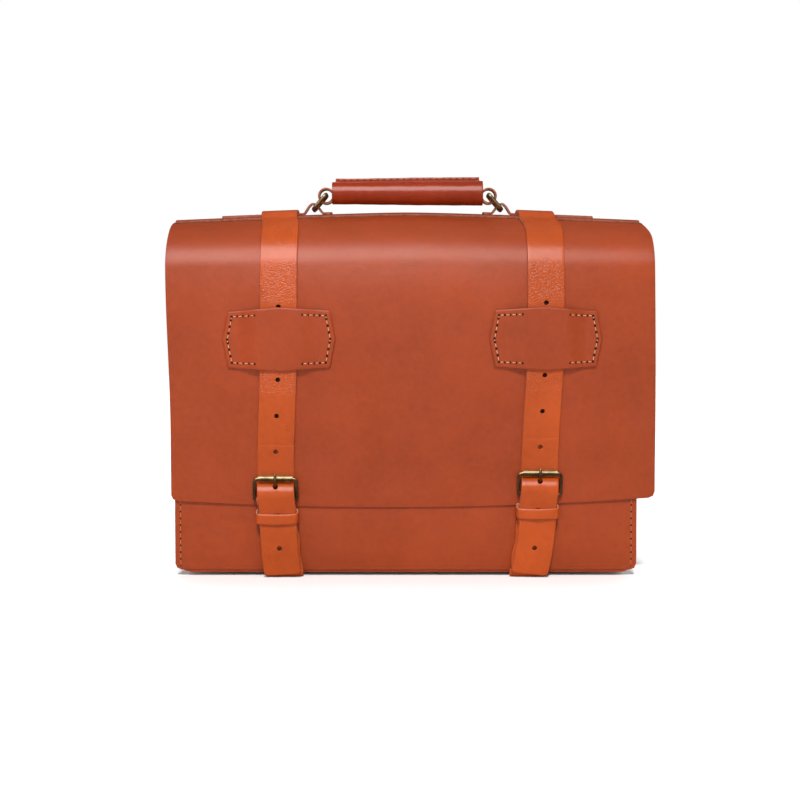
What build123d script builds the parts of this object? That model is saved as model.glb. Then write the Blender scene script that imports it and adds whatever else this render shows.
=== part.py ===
"""A leather satchel briefcase with a full front flap, two buckled straps and a rolled handle.

Millimetres, +Z up, +X to the right, the front faces -Y. The origin is at the middle of the base.
"""
from build123d import *
from math import atan2, cos, degrees, hypot, radians, sin
import os

# driving dimensions: the case
CASE_WIDTH = 380
CASE_DEPTH = 100
CASE_CENTRE_Y = 5.9  # the buckles stand out in front, so the case sits back of the middle
LEATHER = 2.2
PANEL_BOTTOM = 5
PANEL_TOP = 268
PANEL_CORNER = 8
SEAM_INSET = 4.5
SEAM_END = 14  # a seam stops this far from the panel's edge
GUSSET_LEATHER = 2.0
GUSSET_RECESS = 8
GUSSET_TOP = 262

# the flap: one sheet that folds at the back edge and at the front edge
FLAP_WIDTH = 396
FLAP_TOP = 300
FLAP_BOTTOM = 61
FLAP_GAP = 0.8  # air between the front panel and the flap
BACK_FOLD = 12  # bend radius at the middle of the sheet
FRONT_FOLD = 30
FOLD_SPLIT = 45  # each fold is divided half-way round, in degrees
SPLIT_GAP = 0.35  # half the gap where the two parts of a fold meet

# straps, guide plates and handle base
STRAP_WIDTH = 30
STRAP = 2.8
STRAP_X = 108
STRIP = 2.0
STRIP_LENGTH = 392
STRIP_WIDTH = 30
STRIP_CORNER = 3
PLATE = 1.8
PLATE_INNER_X = 64
PLATE_OUTER_X = 157
PLATE_WIDTH = 22
LOOP_WIDTH = 11
BASE_SEAM_INSET = 3
BASE_SEAM_START = 5  # from the plate's outer end
BASE_SEAM_COUNT = 5
ARCH_INNER_X = 73
ARCH_OUTER_X = 86.5
ARCH_TOP = 310.6
ARCH_LEAN = 1.5
ARCH_BEND = 2.4
ARCH_LAND = 6  # flat leather beyond the arch's foot
PLATE_OVERLAP = 3
GUIDE = 1.6
GUIDE_Z = 196
GUIDE_POINT = 46
GUIDE_SIDE = 41.5
GUIDE_PEAK = 26
GUIDE_CORNER = 23
GUIDE_SEAM_INSET = 4
GUIDE_SEAM_RUN = 18
GUIDE_FOOT = 9  # beyond the strap's edge, where the plate reaches the flap
GUIDE_HEAD = 2.5  # beyond the strap's edge, where it lies at its full height
GUIDE_BEND = 1.2
GUIDE_CUT = 15

# buckles: the roller axis is the reference of each side
SIDES = (("left", -1, 81.0), ("right", 1, 85.5))
BUCKLE_WIDTH = 37.4
BUCKLE_PITCH = 17.5  # height from the lower bar to the roller
WIRE = 2.8
ROLLER_RADIUS = 2.95
ROLLER_LENGTH = 28.2
RUNNING = 0.05  # radial clearance of what turns on a bar
BAR_OUT = 6.7  # how far the lower bar lies in front of the front panel
ROLLER_OUT = 9.05
CHAPE = 1.8
PRONG = 2.2
KEEPER = 1.6
KEEPER_HEIGHT = 9
KEEPER_DROP = 13.5  # below the lower bar
KEEPER_WIDTH = 32
KEEPER_BACK = 3.3  # inside faces, in front of the front panel
KEEPER_FRONT = 11.2
CHAPE_FOLD = WIRE / 2 + 0.1
CHAPE_END_Z = 8
CHAPE_SEAM = 22
LAP = 23  # how far the folded end reaches below the bar
LAP_STRAIGHT = 2
LAP_MEETS = 8  # below the bar, where the two layers come together
LAP_BEND = 2
LAP_SEAM_INSET = 2
PRONG_WIDTH = 2.6
PRONG_EYE = 2.7
SLOT_CLEAR = 0.5
SLOT_BELOW = 5
SLOT_ABOVE = 1
PRONG_KNEE = (13.6, 1.5)  # out from the front panel, and below the roller's axis
PRONG_TIP = (12.9, 3)  # out from the front panel, and above the roller's axis
PRONG_BEND = 3
FRAME_CORNER = 3
FRAME_CORNER_LOW = 2.2
TOUCH = 0.1  # air between parts that lie on each other

# how the strap runs, measured in front of the front panel and from the roller
TAIL_ABOVE_ROLLER = 16
TAIL_OUT = 12.2
TAIL_KEPT = 9.3
TAIL_END = 8.4
TAIL_TIP_Z = 1.5
TAIL_BEND = 2.5
TAIL_LEAVES = 2.7  # below the roller's axis, where the tail starts to come forward
TAIL_IS_OUT = 7.7
TAIL_PAST_BAR = 2
TAIL_BACK_IN = 9  # below the lower bar
ENGAGED_BELOW_ROLLER = 7
HOLE_PITCH = 29.5
HOLE_RADIUS = 2
KEPT_HOLE_Z = 48
LAST_HOLE_Z = 23.5
HOLES_ABOVE = 5  # beyond the one in use
HOLE_OUT = 5
HOLE_CUT = 20
RUN_OUT = 4.3
RUN_END_Z = 6.4
RUN_BEND = 3.6
RISE_FOOT = 22
RISE_HEAD = 13
RISE_BEND = 5

# handle and rings
GRIP_RADIUS = 10
GRIP_WALL = 1.3
GRIP_LENGTH = 128
HANDLE_Y = 10
HANDLE_Z = 319
RING_WIRE = 3.2
RING_LOW = (79.5, 305)
RING_HIGH = (69, 317.2)
RING_HALF_DEPTH = 9.6
END_LOOP_RADIUS = 5.6
LOOP_LEATHER = 1.8

RING_CORNER = 2.5
RIDGE = 3
RIDGE_WIDTH = 3
RIDGE_LENGTH = 122
LOOP_SPREAD_X = 60.5  # where the two layers of the handle strap part
CORE_HALF = 54

# thread
STITCH = 3.4
STITCH_PITCH = 5.6
THREAD = 0.8
THREAD_PROUD = 0.5

FRONT_Y = CASE_CENTRE_Y - CASE_DEPTH / 2
BACK_Y = CASE_CENTRE_Y + CASE_DEPTH / 2
CASE_BOTTOM = STRAP
FLAP_Y = FRONT_Y - FLAP_GAP - LEATHER / 2
FLAP_FACE_Y = FLAP_Y - LEATHER / 2
FLAP_MID_Z = FLAP_TOP - LEATHER / 2
BACK_MID_Y = BACK_Y - LEATHER / 2
BACK_CENTRE = (BACK_MID_Y - BACK_FOLD, FLAP_MID_Z - BACK_FOLD)
FRONT_CENTRE = (FLAP_Y + FRONT_FOLD, FLAP_MID_Z - FRONT_FOLD)
STRAP_OUT = (LEATHER + STRAP) / 2  # from the middle of the flap to the middle of a strap on it

os.makedirs("parts", exist_ok=True)


def save(piece, label):
    """Name a finished piece and write it."""
    piece.part.label = label
    export_step(piece.part, f"parts/{label}.step")


def split_angle(radius):
    """The angle that the gap at a split fold takes at this radius."""
    return degrees(SPLIT_GAP / radius)


def back_arc(out, start, stop):
    """An arc round the back fold, out from the sheet's middle, in degrees from +Y."""
    return CenterArc(BACK_CENTRE, BACK_FOLD + out, start, stop - start)


def front_arc(out, start, stop):
    """An arc round the front fold, out from the sheet's middle, in degrees from +Y."""
    return CenterArc(FRONT_CENTRE, FRONT_FOLD + out, start, stop - start)


def stitch_row(start, end, face_y, direction=-1):
    """Places for a row of stitches between two (x, z) points on a wall that faces -Y or +Y."""
    length = hypot(end[0] - start[0], end[1] - start[1])
    count = max(2, round(length / STITCH_PITCH))
    turn = degrees(atan2(end[1] - start[1], end[0] - start[0]))
    places = []
    for index in range(count):
        share = (index + 0.5) / count
        x = start[0] + share * (end[0] - start[0])
        z = start[1] + share * (end[1] - start[1])
        places.append(Location((x, face_y + direction * THREAD_PROUD / 2, z), (0, -turn, 0)))
    return places


def stitches(places, label):
    """One node of thread: a short bar for each stitch."""
    with BuildPart() as thread:
        with Locations(*places):
            Box(STITCH, THREAD_PROUD, THREAD)
    save(thread, label)


def panel(face_y, top):
    """A flat wall of the case with rounded lower corners; face_y is its -Y face."""
    with BuildPart() as wall:
        with BuildSketch(Plane.XZ.offset(-face_y - LEATHER)):
            with Locations((0, (PANEL_BOTTOM + top) / 2)):
                Rectangle(CASE_WIDTH, top - PANEL_BOTTOM)
        extrude(amount=LEATHER)
        lower = wall.edges().filter_by(Axis.Y).group_by(Axis.Z)[0]
        fillet(lower, PANEL_CORNER)
    return wall


# the case: front and back panels, three gussets and their seams
save(panel(FRONT_Y, PANEL_TOP), "front_panel")

with BuildPart() as back_panel:
    add(panel(BACK_Y - LEATHER, BACK_CENTRE[1]).part)
    with BuildSketch(Plane.YZ.offset(-CASE_WIDTH / 2)):
        with BuildLine():
            back_arc(0, 0, FOLD_SPLIT - split_angle(BACK_FOLD))
        trace(line_width=LEATHER)
    extrude(amount=CASE_WIDTH)
save(back_panel, "back_panel")

GUSSET_FRONT = FRONT_Y + LEATHER
GUSSET_BACK = BACK_Y - LEATHER
GUSSET_X = CASE_WIDTH / 2 - GUSSET_RECESS
WEB_BOTTOM = CASE_BOTTOM + GUSSET_RECESS


def side_gusset(side, label):
    """A side wall set in from the edges, with a flange turned out along the front and the back."""
    with BuildPart() as gusset:
        with BuildSketch(Plane.XY.offset(WEB_BOTTOM)):
            with Locations((side * (GUSSET_X - GUSSET_LEATHER / 2), CASE_CENTRE_Y)):
                Rectangle(GUSSET_LEATHER, GUSSET_BACK - GUSSET_FRONT)
            flange_x = side * (GUSSET_X - GUSSET_LEATHER + CASE_WIDTH / 2) / 2
            flange = CASE_WIDTH / 2 - GUSSET_X + GUSSET_LEATHER
            for flange_y in (GUSSET_FRONT + GUSSET_LEATHER / 2, GUSSET_BACK - GUSSET_LEATHER / 2):
                with Locations((flange_x, flange_y)):
                    Rectangle(flange, GUSSET_LEATHER)
        extrude(amount=GUSSET_TOP - WEB_BOTTOM)
    save(gusset, label)


side_gusset(-1, "gusset_left")
side_gusset(1, "gusset_right")

with BuildPart() as base_gusset:
    base_half = GUSSET_X - GUSSET_LEATHER
    with BuildSketch(Plane.YZ.offset(-base_half)):
        with Locations((CASE_CENTRE_Y, WEB_BOTTOM + GUSSET_LEATHER / 2)):
            Rectangle(GUSSET_BACK - GUSSET_FRONT, GUSSET_LEATHER)
        for flange_y in (GUSSET_FRONT + GUSSET_LEATHER / 2, GUSSET_BACK - GUSSET_LEATHER / 2):
            with Locations((flange_y, CASE_BOTTOM + (GUSSET_RECESS + GUSSET_LEATHER) / 2)):
                Rectangle(GUSSET_LEATHER, GUSSET_RECESS + GUSSET_LEATHER)
    extrude(amount=2 * base_half)
save(base_gusset, "gusset_base")

SEAM_X = CASE_WIDTH / 2 - SEAM_INSET
for wall, seam_y, out in (("front", FRONT_Y, -1), ("back", BACK_Y, 1)):
    seam_places = []
    for seam_x in (-SEAM_X, SEAM_X):
        seam_places += stitch_row((seam_x, SEAM_END), (seam_x, PANEL_TOP - SEAM_END), seam_y, out)
    stitches(seam_places, f"seam_{wall}")

# the flap: the top part, and the front part that hangs before the front panel
with BuildPart() as flap_top:
    with BuildSketch(Plane.YZ.offset(-FLAP_WIDTH / 2)):
        with BuildLine():
            back_arc(0, FOLD_SPLIT + split_angle(BACK_FOLD), 90)
            Line((BACK_CENTRE[0], FLAP_MID_Z), (FRONT_CENTRE[0], FLAP_MID_Z))
            front_arc(0, 90, 180 - FOLD_SPLIT - split_angle(FRONT_FOLD))
        trace(line_width=LEATHER)
    extrude(amount=FLAP_WIDTH)
save(flap_top, "flap_top_panel")

with BuildPart() as flap_front:
    with BuildSketch(Plane.YZ.offset(-FLAP_WIDTH / 2)):
        with BuildLine():
            front_arc(0, 180 - FOLD_SPLIT + split_angle(FRONT_FOLD), 180)
            Line((FLAP_Y, FRONT_CENTRE[1]), (FLAP_Y, FLAP_BOTTOM))
        trace(line_width=LEATHER)
    extrude(amount=FLAP_WIDTH)
save(flap_front, "flap_front_panel")

# the top strip and the two handle bases, each a plate with an arch for the ring
STRIP_TOP = FLAP_TOP + STRIP
PLATE_MID_Z = STRIP_TOP + PLATE / 2

with BuildPart() as top_strip:
    with BuildSketch(Plane.XY.offset(FLAP_TOP)):
        with Locations((0, HANDLE_Y)):
            RectangleRounded(STRIP_LENGTH, STRIP_WIDTH, STRIP_CORNER)
    extrude(amount=STRIP)
save(top_strip, "top_strip")


def handle_base(side, label):
    """A plate along the strip whose inner end rises in an arch over the ring's lower bar."""
    arch = [
        (side * PLATE_INNER_X, PLATE_MID_Z),
        (side * ARCH_INNER_X, PLATE_MID_Z),
        (side * (ARCH_INNER_X + ARCH_LEAN), ARCH_TOP - PLATE / 2),
        (side * (ARCH_OUTER_X - ARCH_LEAN), ARCH_TOP - PLATE / 2),
        (side * ARCH_OUTER_X, PLATE_MID_Z),
        (side * (ARCH_OUTER_X + ARCH_LAND), PLATE_MID_Z),
    ]
    with BuildPart() as base:
        with BuildSketch(Plane.XZ.offset(-HANDLE_Y - LOOP_WIDTH / 2)):
            with BuildLine():
                FilletPolyline(*arch, radius=ARCH_BEND)
            trace(line_width=PLATE)
        extrude(amount=LOOP_WIDTH)
        plate_start = ARCH_OUTER_X + PLATE_OVERLAP
        plate_end = ARCH_INNER_X - PLATE_OVERLAP
        for inner, outer in ((PLATE_INNER_X, plate_end), (plate_start, PLATE_OUTER_X)):
            with BuildSketch(Plane.XY.offset(STRIP_TOP)):
                with Locations((side * (inner + outer) / 2, HANDLE_Y)):
                    Rectangle(outer - inner, PLATE_WIDTH)
            extrude(amount=PLATE)
    save(base, label)


for side_name, side, roller_z in SIDES:
    handle_base(side, f"handle_base_{side_name}")

# thread along the strip and the plates lies flat, so its bars stand on an upward face
base_seams = []
for side in (-1, 1):
    for seam_y in (-PLATE_WIDTH / 2 + BASE_SEAM_INSET, PLATE_WIDTH / 2 - BASE_SEAM_INSET):
        for index in range(BASE_SEAM_COUNT):
            seam_x = side * (PLATE_OUTER_X - BASE_SEAM_START - index * STITCH_PITCH)
            seam_z = STRIP_TOP + PLATE + THREAD_PROUD / 2
            base_seams.append(Location((seam_x, HANDLE_Y + seam_y, seam_z), (90, 0, 0)))
stitches(base_seams, "seam_handle_bases")


# straps: back and base run, top run, front run and free tail, each a line in the YZ plane
def back_run():
    """Down the back, under the base and round its front edge."""
    back_y = BACK_Y + STRAP / 2
    under_z = STRAP / 2
    back_arc(STRAP_OUT, FOLD_SPLIT - split_angle(BACK_FOLD), 0)
    FilletPolyline(
        (back_y, BACK_CENTRE[1]),
        (back_y, under_z),
        (FRONT_Y - RUN_OUT, under_z),
        (FRONT_Y - RUN_OUT, RUN_END_Z),
        radius=RUN_BEND,
    )


def top_run():
    """Over the top, rising across the handle base."""
    flat_z = FLAP_TOP + STRAP / 2
    raised_z = STRIP_TOP + PLATE + STRAP / 2 + TOUCH
    back_arc(STRAP_OUT, FOLD_SPLIT + split_angle(BACK_FOLD), 90)
    FilletPolyline(
        (BACK_CENTRE[0], flat_z),
        (HANDLE_Y + RISE_FOOT, flat_z),
        (HANDLE_Y + RISE_HEAD, raised_z),
        (HANDLE_Y - RISE_HEAD, raised_z),
        (HANDLE_Y - RISE_FOOT, flat_z),
        (FRONT_CENTRE[0], flat_z),
        radius=RISE_BEND,
    )
    front_arc(STRAP_OUT, 90, 180 - FOLD_SPLIT - split_angle(FRONT_FOLD))


def front_run(roller_z):
    """Round the front fold and down the flap to where the tail begins."""
    strap_y = FLAP_FACE_Y - STRAP / 2
    front_arc(STRAP_OUT, 180 - FOLD_SPLIT + split_angle(FRONT_FOLD), 180)
    Line((strap_y, FRONT_CENTRE[1]), (strap_y, roller_z + TAIL_ABOVE_ROLLER + TOUCH))


def tail_run(roller_z):
    """Behind the roller, out over the lower bar, through the keeper and down to the base."""
    bar_z = roller_z - BUCKLE_PITCH
    strap_y = FLAP_FACE_Y - STRAP / 2
    FilletPolyline(
        (strap_y, roller_z + TAIL_ABOVE_ROLLER),
        (strap_y, roller_z - TAIL_LEAVES),
        (FRONT_Y - TAIL_OUT, roller_z - TAIL_IS_OUT),
        (FRONT_Y - TAIL_OUT, bar_z - TAIL_PAST_BAR),
        (FRONT_Y - TAIL_KEPT, bar_z - TAIL_BACK_IN),
        (FRONT_Y - TAIL_END, TAIL_TIP_Z),
        radius=TAIL_BEND,
    )


def chape_run(bar_z):
    """Up from the base, round the lower bar and back down on itself."""
    reach = CHAPE_FOLD + CHAPE / 2
    back_y = FRONT_Y - BAR_OUT + reach
    fold_y = FRONT_Y - BAR_OUT - reach
    lapped_y = back_y - CHAPE - TOUCH
    Line((back_y, CHAPE_END_Z), (back_y, bar_z))
    CenterArc((FRONT_Y - BAR_OUT, bar_z), reach, 0, 180)
    FilletPolyline(
        (fold_y, bar_z),
        (fold_y, bar_z - LAP_STRAIGHT),
        (lapped_y, bar_z - LAP_MEETS),
        (lapped_y, bar_z - LAP),
        radius=LAP_BEND,
    )


def prong_run(roller_z):
    """From the lower bar up through the strap and over the front of the roller."""
    FilletPolyline(
        (FRONT_Y - BAR_OUT, roller_z - BUCKLE_PITCH),
        (FRONT_Y - PRONG_KNEE[0], roller_z - PRONG_KNEE[1]),
        (FRONT_Y - PRONG_TIP[0], roller_z + PRONG_TIP[1]),
        radius=PRONG_BEND,
    )


def strap_holes(side, heights):
    """Take the punched holes out of the strap that is being built."""
    with Locations(*[(side * STRAP_X, FRONT_Y - HOLE_OUT, z) for z in heights]):
        Cylinder(HOLE_RADIUS, HOLE_CUT, rotation=(90, 0, 0), mode=Mode.SUBTRACT)


def side_sketch(side, half_width):
    """The YZ plane at the left edge of something centred on one strap."""
    return Plane.YZ.offset(side * STRAP_X - half_width)


for side_name, side, roller_z in SIDES:
    bar_z = roller_z - BUCKLE_PITCH
    bar_y = FRONT_Y - BAR_OUT
    roller_y = FRONT_Y - ROLLER_OUT
    engaged_z = roller_z - ENGAGED_BELOW_ROLLER

    for run, label in ((back_run, "back"), (top_run, "top")):
        with BuildPart() as strap:
            with BuildSketch(side_sketch(side, STRAP_WIDTH / 2)):
                with BuildLine():
                    run()
                trace(line_width=STRAP)
            extrude(amount=STRAP_WIDTH)
        save(strap, f"strap_{label}_{side_name}")

    with BuildPart() as strap_front:
        with BuildSketch(side_sketch(side, STRAP_WIDTH / 2)):
            with BuildLine():
                front_run(roller_z)
            trace(line_width=STRAP)
        extrude(amount=STRAP_WIDTH)
        strap_holes(side, [engaged_z + number * HOLE_PITCH for number in range(1, HOLES_ABOVE + 1)])
    save(strap_front, f"strap_front_{side_name}")

    with BuildPart() as strap_tail:
        with BuildSketch(side_sketch(side, STRAP_WIDTH / 2)):
            with BuildLine():
                tail_run(roller_z)
            trace(line_width=STRAP)
        extrude(amount=STRAP_WIDTH)
        strap_holes(side, [KEPT_HOLE_Z, LAST_HOLE_Z])
        # the hole in use is a slot round the prong
        with BuildSketch(side_sketch(side, PRONG_WIDTH / 2 + SLOT_CLEAR)):
            with BuildLine():
                prong_run(roller_z)
            trace(line_width=PRONG + 2 * SLOT_CLEAR)
        extrude(amount=PRONG_WIDTH + 2 * SLOT_CLEAR, mode=Mode.SUBTRACT)
    save(strap_tail, f"strap_tail_{side_name}")

    with BuildPart() as chape:
        with BuildSketch(side_sketch(side, STRAP_WIDTH / 2)):
            with BuildLine():
                chape_run(bar_z)
            trace(line_width=CHAPE)
        extrude(amount=STRAP_WIDTH)
        slot_top = CHAPE_FOLD + CHAPE + SLOT_ABOVE
        with Locations((side * STRAP_X, bar_y, bar_z + (slot_top - SLOT_BELOW) / 2)):
            slot_width = PRONG_WIDTH + 2 * SLOT_CLEAR
            Box(slot_width, 2 * slot_top, slot_top + SLOT_BELOW, mode=Mode.SUBTRACT)
    save(chape, f"chape_{side_name}")

    with BuildPart() as keeper:
        with BuildSketch(Plane.XY.offset(bar_z - KEEPER_DROP - KEEPER_HEIGHT / 2)):
            keeper_depth = KEEPER_FRONT - KEEPER_BACK
            with Locations((side * STRAP_X, FRONT_Y - (KEEPER_FRONT + KEEPER_BACK) / 2)):
                RectangleRounded(KEEPER_WIDTH + 2 * KEEPER, keeper_depth + 2 * KEEPER, KEEPER)
                Rectangle(KEEPER_WIDTH, keeper_depth, mode=Mode.SUBTRACT)
        extrude(amount=KEEPER_HEIGHT)
    save(keeper, f"keeper_{side_name}")

    lapped_face = bar_y + CHAPE_FOLD - CHAPE - TOUCH
    chape_seam = [
        (side * STRAP_X - CHAPE_SEAM / 2, bar_z - LAP + LAP_SEAM_INSET),
        (side * STRAP_X + CHAPE_SEAM / 2, bar_z - LAP + LAP_SEAM_INSET),
    ]
    stitches(stitch_row(*chape_seam, lapped_face), f"seam_chape_{side_name}")

    # the frame is one bent wire, from the lower bar round the sides to the roller's bar
    rise = (roller_y - bar_y, BUCKLE_PITCH)
    half_pitch = hypot(*rise) / 2
    wire_x = (BUCKLE_WIDTH - WIRE) / 2
    frame_plane = Plane(
        origin=(side * STRAP_X, (roller_y + bar_y) / 2, (roller_z + bar_z) / 2),
        x_dir=(1, 0, 0),
        z_dir=(0, -rise[1], rise[0]),
    )
    with BuildPart() as frame:
        with BuildLine(frame_plane) as frame_line:
            FilletPolyline(
                (-wire_x, -half_pitch),
                (wire_x, -half_pitch),
                (wire_x, half_pitch),
                (-wire_x, half_pitch),
                radius=[FRAME_CORNER_LOW, FRAME_CORNER_LOW, FRAME_CORNER, FRAME_CORNER],
                close=True,
            )
        with BuildSketch(Plane(origin=frame_line.line @ 0, z_dir=frame_line.line % 0)):
            Circle(WIRE / 2)
        sweep(path=frame_line.line)
    save(frame, f"buckle_frame_{side_name}")

    with BuildPart() as roller:
        with BuildSketch(side_sketch(side, ROLLER_LENGTH / 2)):
            with Locations((roller_y, roller_z)):
                Circle(ROLLER_RADIUS)
                Circle(WIRE / 2 + RUNNING, mode=Mode.SUBTRACT)
        extrude(amount=ROLLER_LENGTH)
    save(roller, f"buckle_roller_{side_name}")

    with BuildPart() as prong:
        with BuildSketch(side_sketch(side, PRONG_WIDTH / 2)):
            with BuildLine():
                prong_run(roller_z)
            trace(line_width=PRONG)
            with Locations((bar_y, bar_z)):
                Circle(PRONG_EYE)
                Circle(WIRE / 2 + RUNNING, mode=Mode.SUBTRACT)
        extrude(amount=PRONG_WIDTH)
    save(prong, f"buckle_prong_{side_name}")

    # the guide plate is sewn flat at both ends and rises over the strap between them
    low_y = FLAP_FACE_Y - GUIDE / 2
    high_y = FLAP_FACE_Y - STRAP - GUIDE / 2 - TOUCH
    centre = side * STRAP_X
    foot = STRAP_WIDTH / 2 + GUIDE_FOOT
    head = STRAP_WIDTH / 2 + GUIDE_HEAD
    with BuildPart() as guide:
        with BuildSketch(Plane.XY.offset(GUIDE_Z - GUIDE_PEAK)):
            with BuildLine():
                FilletPolyline(
                    (centre - GUIDE_POINT, low_y),
                    (centre - foot, low_y),
                    (centre - head, high_y),
                    (centre + head, high_y),
                    (centre + foot, low_y),
                    (centre + GUIDE_POINT, low_y),
                    radius=GUIDE_BEND,
                )
            trace(line_width=GUIDE)
        extrude(amount=2 * GUIDE_PEAK)
        with BuildSketch(Plane.XZ.offset(-FRONT_Y)):
            with Locations((centre, GUIDE_Z)):
                Polygon(
                    (-GUIDE_POINT, 0),
                    (-GUIDE_SIDE, -GUIDE_CORNER),
                    (0, -GUIDE_PEAK),
                    (GUIDE_SIDE, -GUIDE_CORNER),
                    (GUIDE_POINT, 0),
                    (GUIDE_SIDE, GUIDE_CORNER),
                    (0, GUIDE_PEAK),
                    (-GUIDE_SIDE, GUIDE_CORNER),
                    align=None,
                )
        extrude(amount=GUIDE_CUT, mode=Mode.INTERSECT)
    save(guide, f"guide_plate_{side_name}")

    guide_seams = []
    for end in (-1, 1):
        inner_x = centre + end * (GUIDE_SIDE - GUIDE_SEAM_RUN)
        outer_x = centre + end * (GUIDE_SIDE - GUIDE_SEAM_INSET)
        point_x = centre + end * (GUIDE_POINT - GUIDE_SEAM_INSET)
        for half in (-1, 1):
            seam_z = GUIDE_Z + half * (GUIDE_CORNER - GUIDE_SEAM_INSET)
            guide_seams += stitch_row((inner_x, seam_z), (outer_x, seam_z), low_y - GUIDE / 2)
            side_end = (point_x, GUIDE_Z + half * STITCH / 2)
            side_start = (outer_x, seam_z - half * STITCH)
            guide_seams += stitch_row(side_start, side_end, low_y - GUIDE / 2)
    stitches(guide_seams, f"seam_guide_{side_name}")


# the rings: bent wire, leaning in towards the handle
for side_name, side, roller_z in SIDES:
    low = (side * RING_LOW[0], RING_LOW[1])
    high = (side * RING_HIGH[0], RING_HIGH[1])
    lean = (high[0] - low[0], high[1] - low[1])
    half_pitch = hypot(*lean) / 2
    ring_plane = Plane(
        origin=((low[0] + high[0]) / 2, HANDLE_Y, (low[1] + high[1]) / 2),
        x_dir=(0, 1, 0),
        z_dir=(lean[1], 0, -lean[0]),
    )
    with BuildPart() as ring:
        with BuildLine(ring_plane) as ring_line:
            FilletPolyline(
                (-RING_HALF_DEPTH, -half_pitch),
                (RING_HALF_DEPTH, -half_pitch),
                (RING_HALF_DEPTH, half_pitch),
                (-RING_HALF_DEPTH, half_pitch),
                radius=RING_CORNER,
                close=True,
            )
        with BuildSketch(Plane(origin=ring_line.line @ 0, z_dir=ring_line.line % 0)):
            Circle(RING_WIRE / 2)
        sweep(path=ring_line.line)
    save(ring, f"handle_ring_{side_name}")

# the handle: a leather roll with a sewn ridge, its filling, and a strap that ends in two loops
GRIP_MIDDLE = (0, HANDLE_Y, HANDLE_Z)
with BuildPart() as grip:
    with Locations(GRIP_MIDDLE):
        Cylinder(GRIP_RADIUS, GRIP_LENGTH, rotation=(0, 90, 0))
    with Locations((0, HANDLE_Y, HANDLE_Z + GRIP_RADIUS + RIDGE / 2 - GRIP_WALL / 2)):
        Box(RIDGE_LENGTH, RIDGE_WIDTH, RIDGE + GRIP_WALL)
    with Locations(GRIP_MIDDLE):
        bore = GRIP_RADIUS - GRIP_WALL
        Cylinder(bore, GRIP_LENGTH, rotation=(0, 90, 0), mode=Mode.SUBTRACT)
save(grip, "handle_grip")

ridge_z = HANDLE_Z + GRIP_RADIUS + RIDGE / 2
ridge_row = stitch_row(
    (-RIDGE_LENGTH / 2, ridge_z), (RIDGE_LENGTH / 2, ridge_z), HANDLE_Y - RIDGE_WIDTH / 2
)
stitches(ridge_row, "seam_handle")

layer = LOOP_LEATHER / 2 + TOUCH / 2
loop_z = RING_HIGH[1]
with BuildPart() as handle_strap:
    with BuildSketch(Plane.XZ.offset(-HANDLE_Y - LOOP_WIDTH / 2)):
        with BuildLine():
            reach = hypot(RING_HIGH[0] - LOOP_SPREAD_X, layer)
            to_bar = degrees(atan2(-layer, RING_HIGH[0] - LOOP_SPREAD_X))
            rise_angle = to_bar + degrees(atan2(END_LOOP_RADIUS, (reach**2 - END_LOOP_RADIUS**2) ** 0.5))
            touch_angle = 90 + rise_angle
            touch_x = RING_HIGH[0] + END_LOOP_RADIUS * cos(radians(touch_angle))
            touch_z = END_LOOP_RADIUS * sin(radians(touch_angle))
            for half in (-1, 1):
                Line((0, loop_z + half * layer), (LOOP_SPREAD_X, loop_z + half * layer))
                Line((LOOP_SPREAD_X, loop_z + half * layer), (touch_x, loop_z + half * touch_z))
            CenterArc(RING_HIGH, END_LOOP_RADIUS, touch_angle, -2 * touch_angle)
        trace(line_width=LOOP_LEATHER)
    extrude(amount=LOOP_WIDTH)
    mirror(about=Plane.YZ)
save(handle_strap, "handle_strap")

with BuildPart() as handle_core:
    with Locations(GRIP_MIDDLE):
        Cylinder(bore - TOUCH, 2 * CORE_HALF, rotation=(0, 90, 0))
    with Locations((0, HANDLE_Y, loop_z)):
        Box(2 * CORE_HALF, 2 * GRIP_RADIUS, 2 * LOOP_LEATHER + 3 * TOUCH, mode=Mode.SUBTRACT)
save(handle_core, "handle_core")
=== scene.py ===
"""The leather briefcase as it looks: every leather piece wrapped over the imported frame.

Metres, the frame's own axes. A leather piece is cut flat, as a pattern with u across and v along,
given its thickness and its turned edges, and then placed in space by a function of (u, v, w),
where w is the height above the middle of the leather.
"""
import math

import bmesh
import bpy
import numpy as np
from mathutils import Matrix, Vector


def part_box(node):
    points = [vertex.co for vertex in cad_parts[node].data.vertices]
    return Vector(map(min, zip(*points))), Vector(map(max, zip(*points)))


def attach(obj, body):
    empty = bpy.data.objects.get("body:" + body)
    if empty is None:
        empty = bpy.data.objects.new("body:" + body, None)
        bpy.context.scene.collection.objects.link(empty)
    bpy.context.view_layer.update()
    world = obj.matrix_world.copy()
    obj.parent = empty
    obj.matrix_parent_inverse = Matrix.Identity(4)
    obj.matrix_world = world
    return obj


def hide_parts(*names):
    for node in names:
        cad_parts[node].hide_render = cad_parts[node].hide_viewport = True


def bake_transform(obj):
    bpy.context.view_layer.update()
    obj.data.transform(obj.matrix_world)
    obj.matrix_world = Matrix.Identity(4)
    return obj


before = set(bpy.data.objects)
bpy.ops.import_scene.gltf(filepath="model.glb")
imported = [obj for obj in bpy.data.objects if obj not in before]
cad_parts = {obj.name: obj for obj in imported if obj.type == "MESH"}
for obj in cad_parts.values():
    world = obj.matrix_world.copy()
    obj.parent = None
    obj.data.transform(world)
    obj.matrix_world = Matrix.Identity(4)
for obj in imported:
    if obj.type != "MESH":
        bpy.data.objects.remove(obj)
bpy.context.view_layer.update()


def middle(name):
    """The middle of a node's box."""
    return [(a + b) / 2 for a, b in zip(*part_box(name))]


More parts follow.
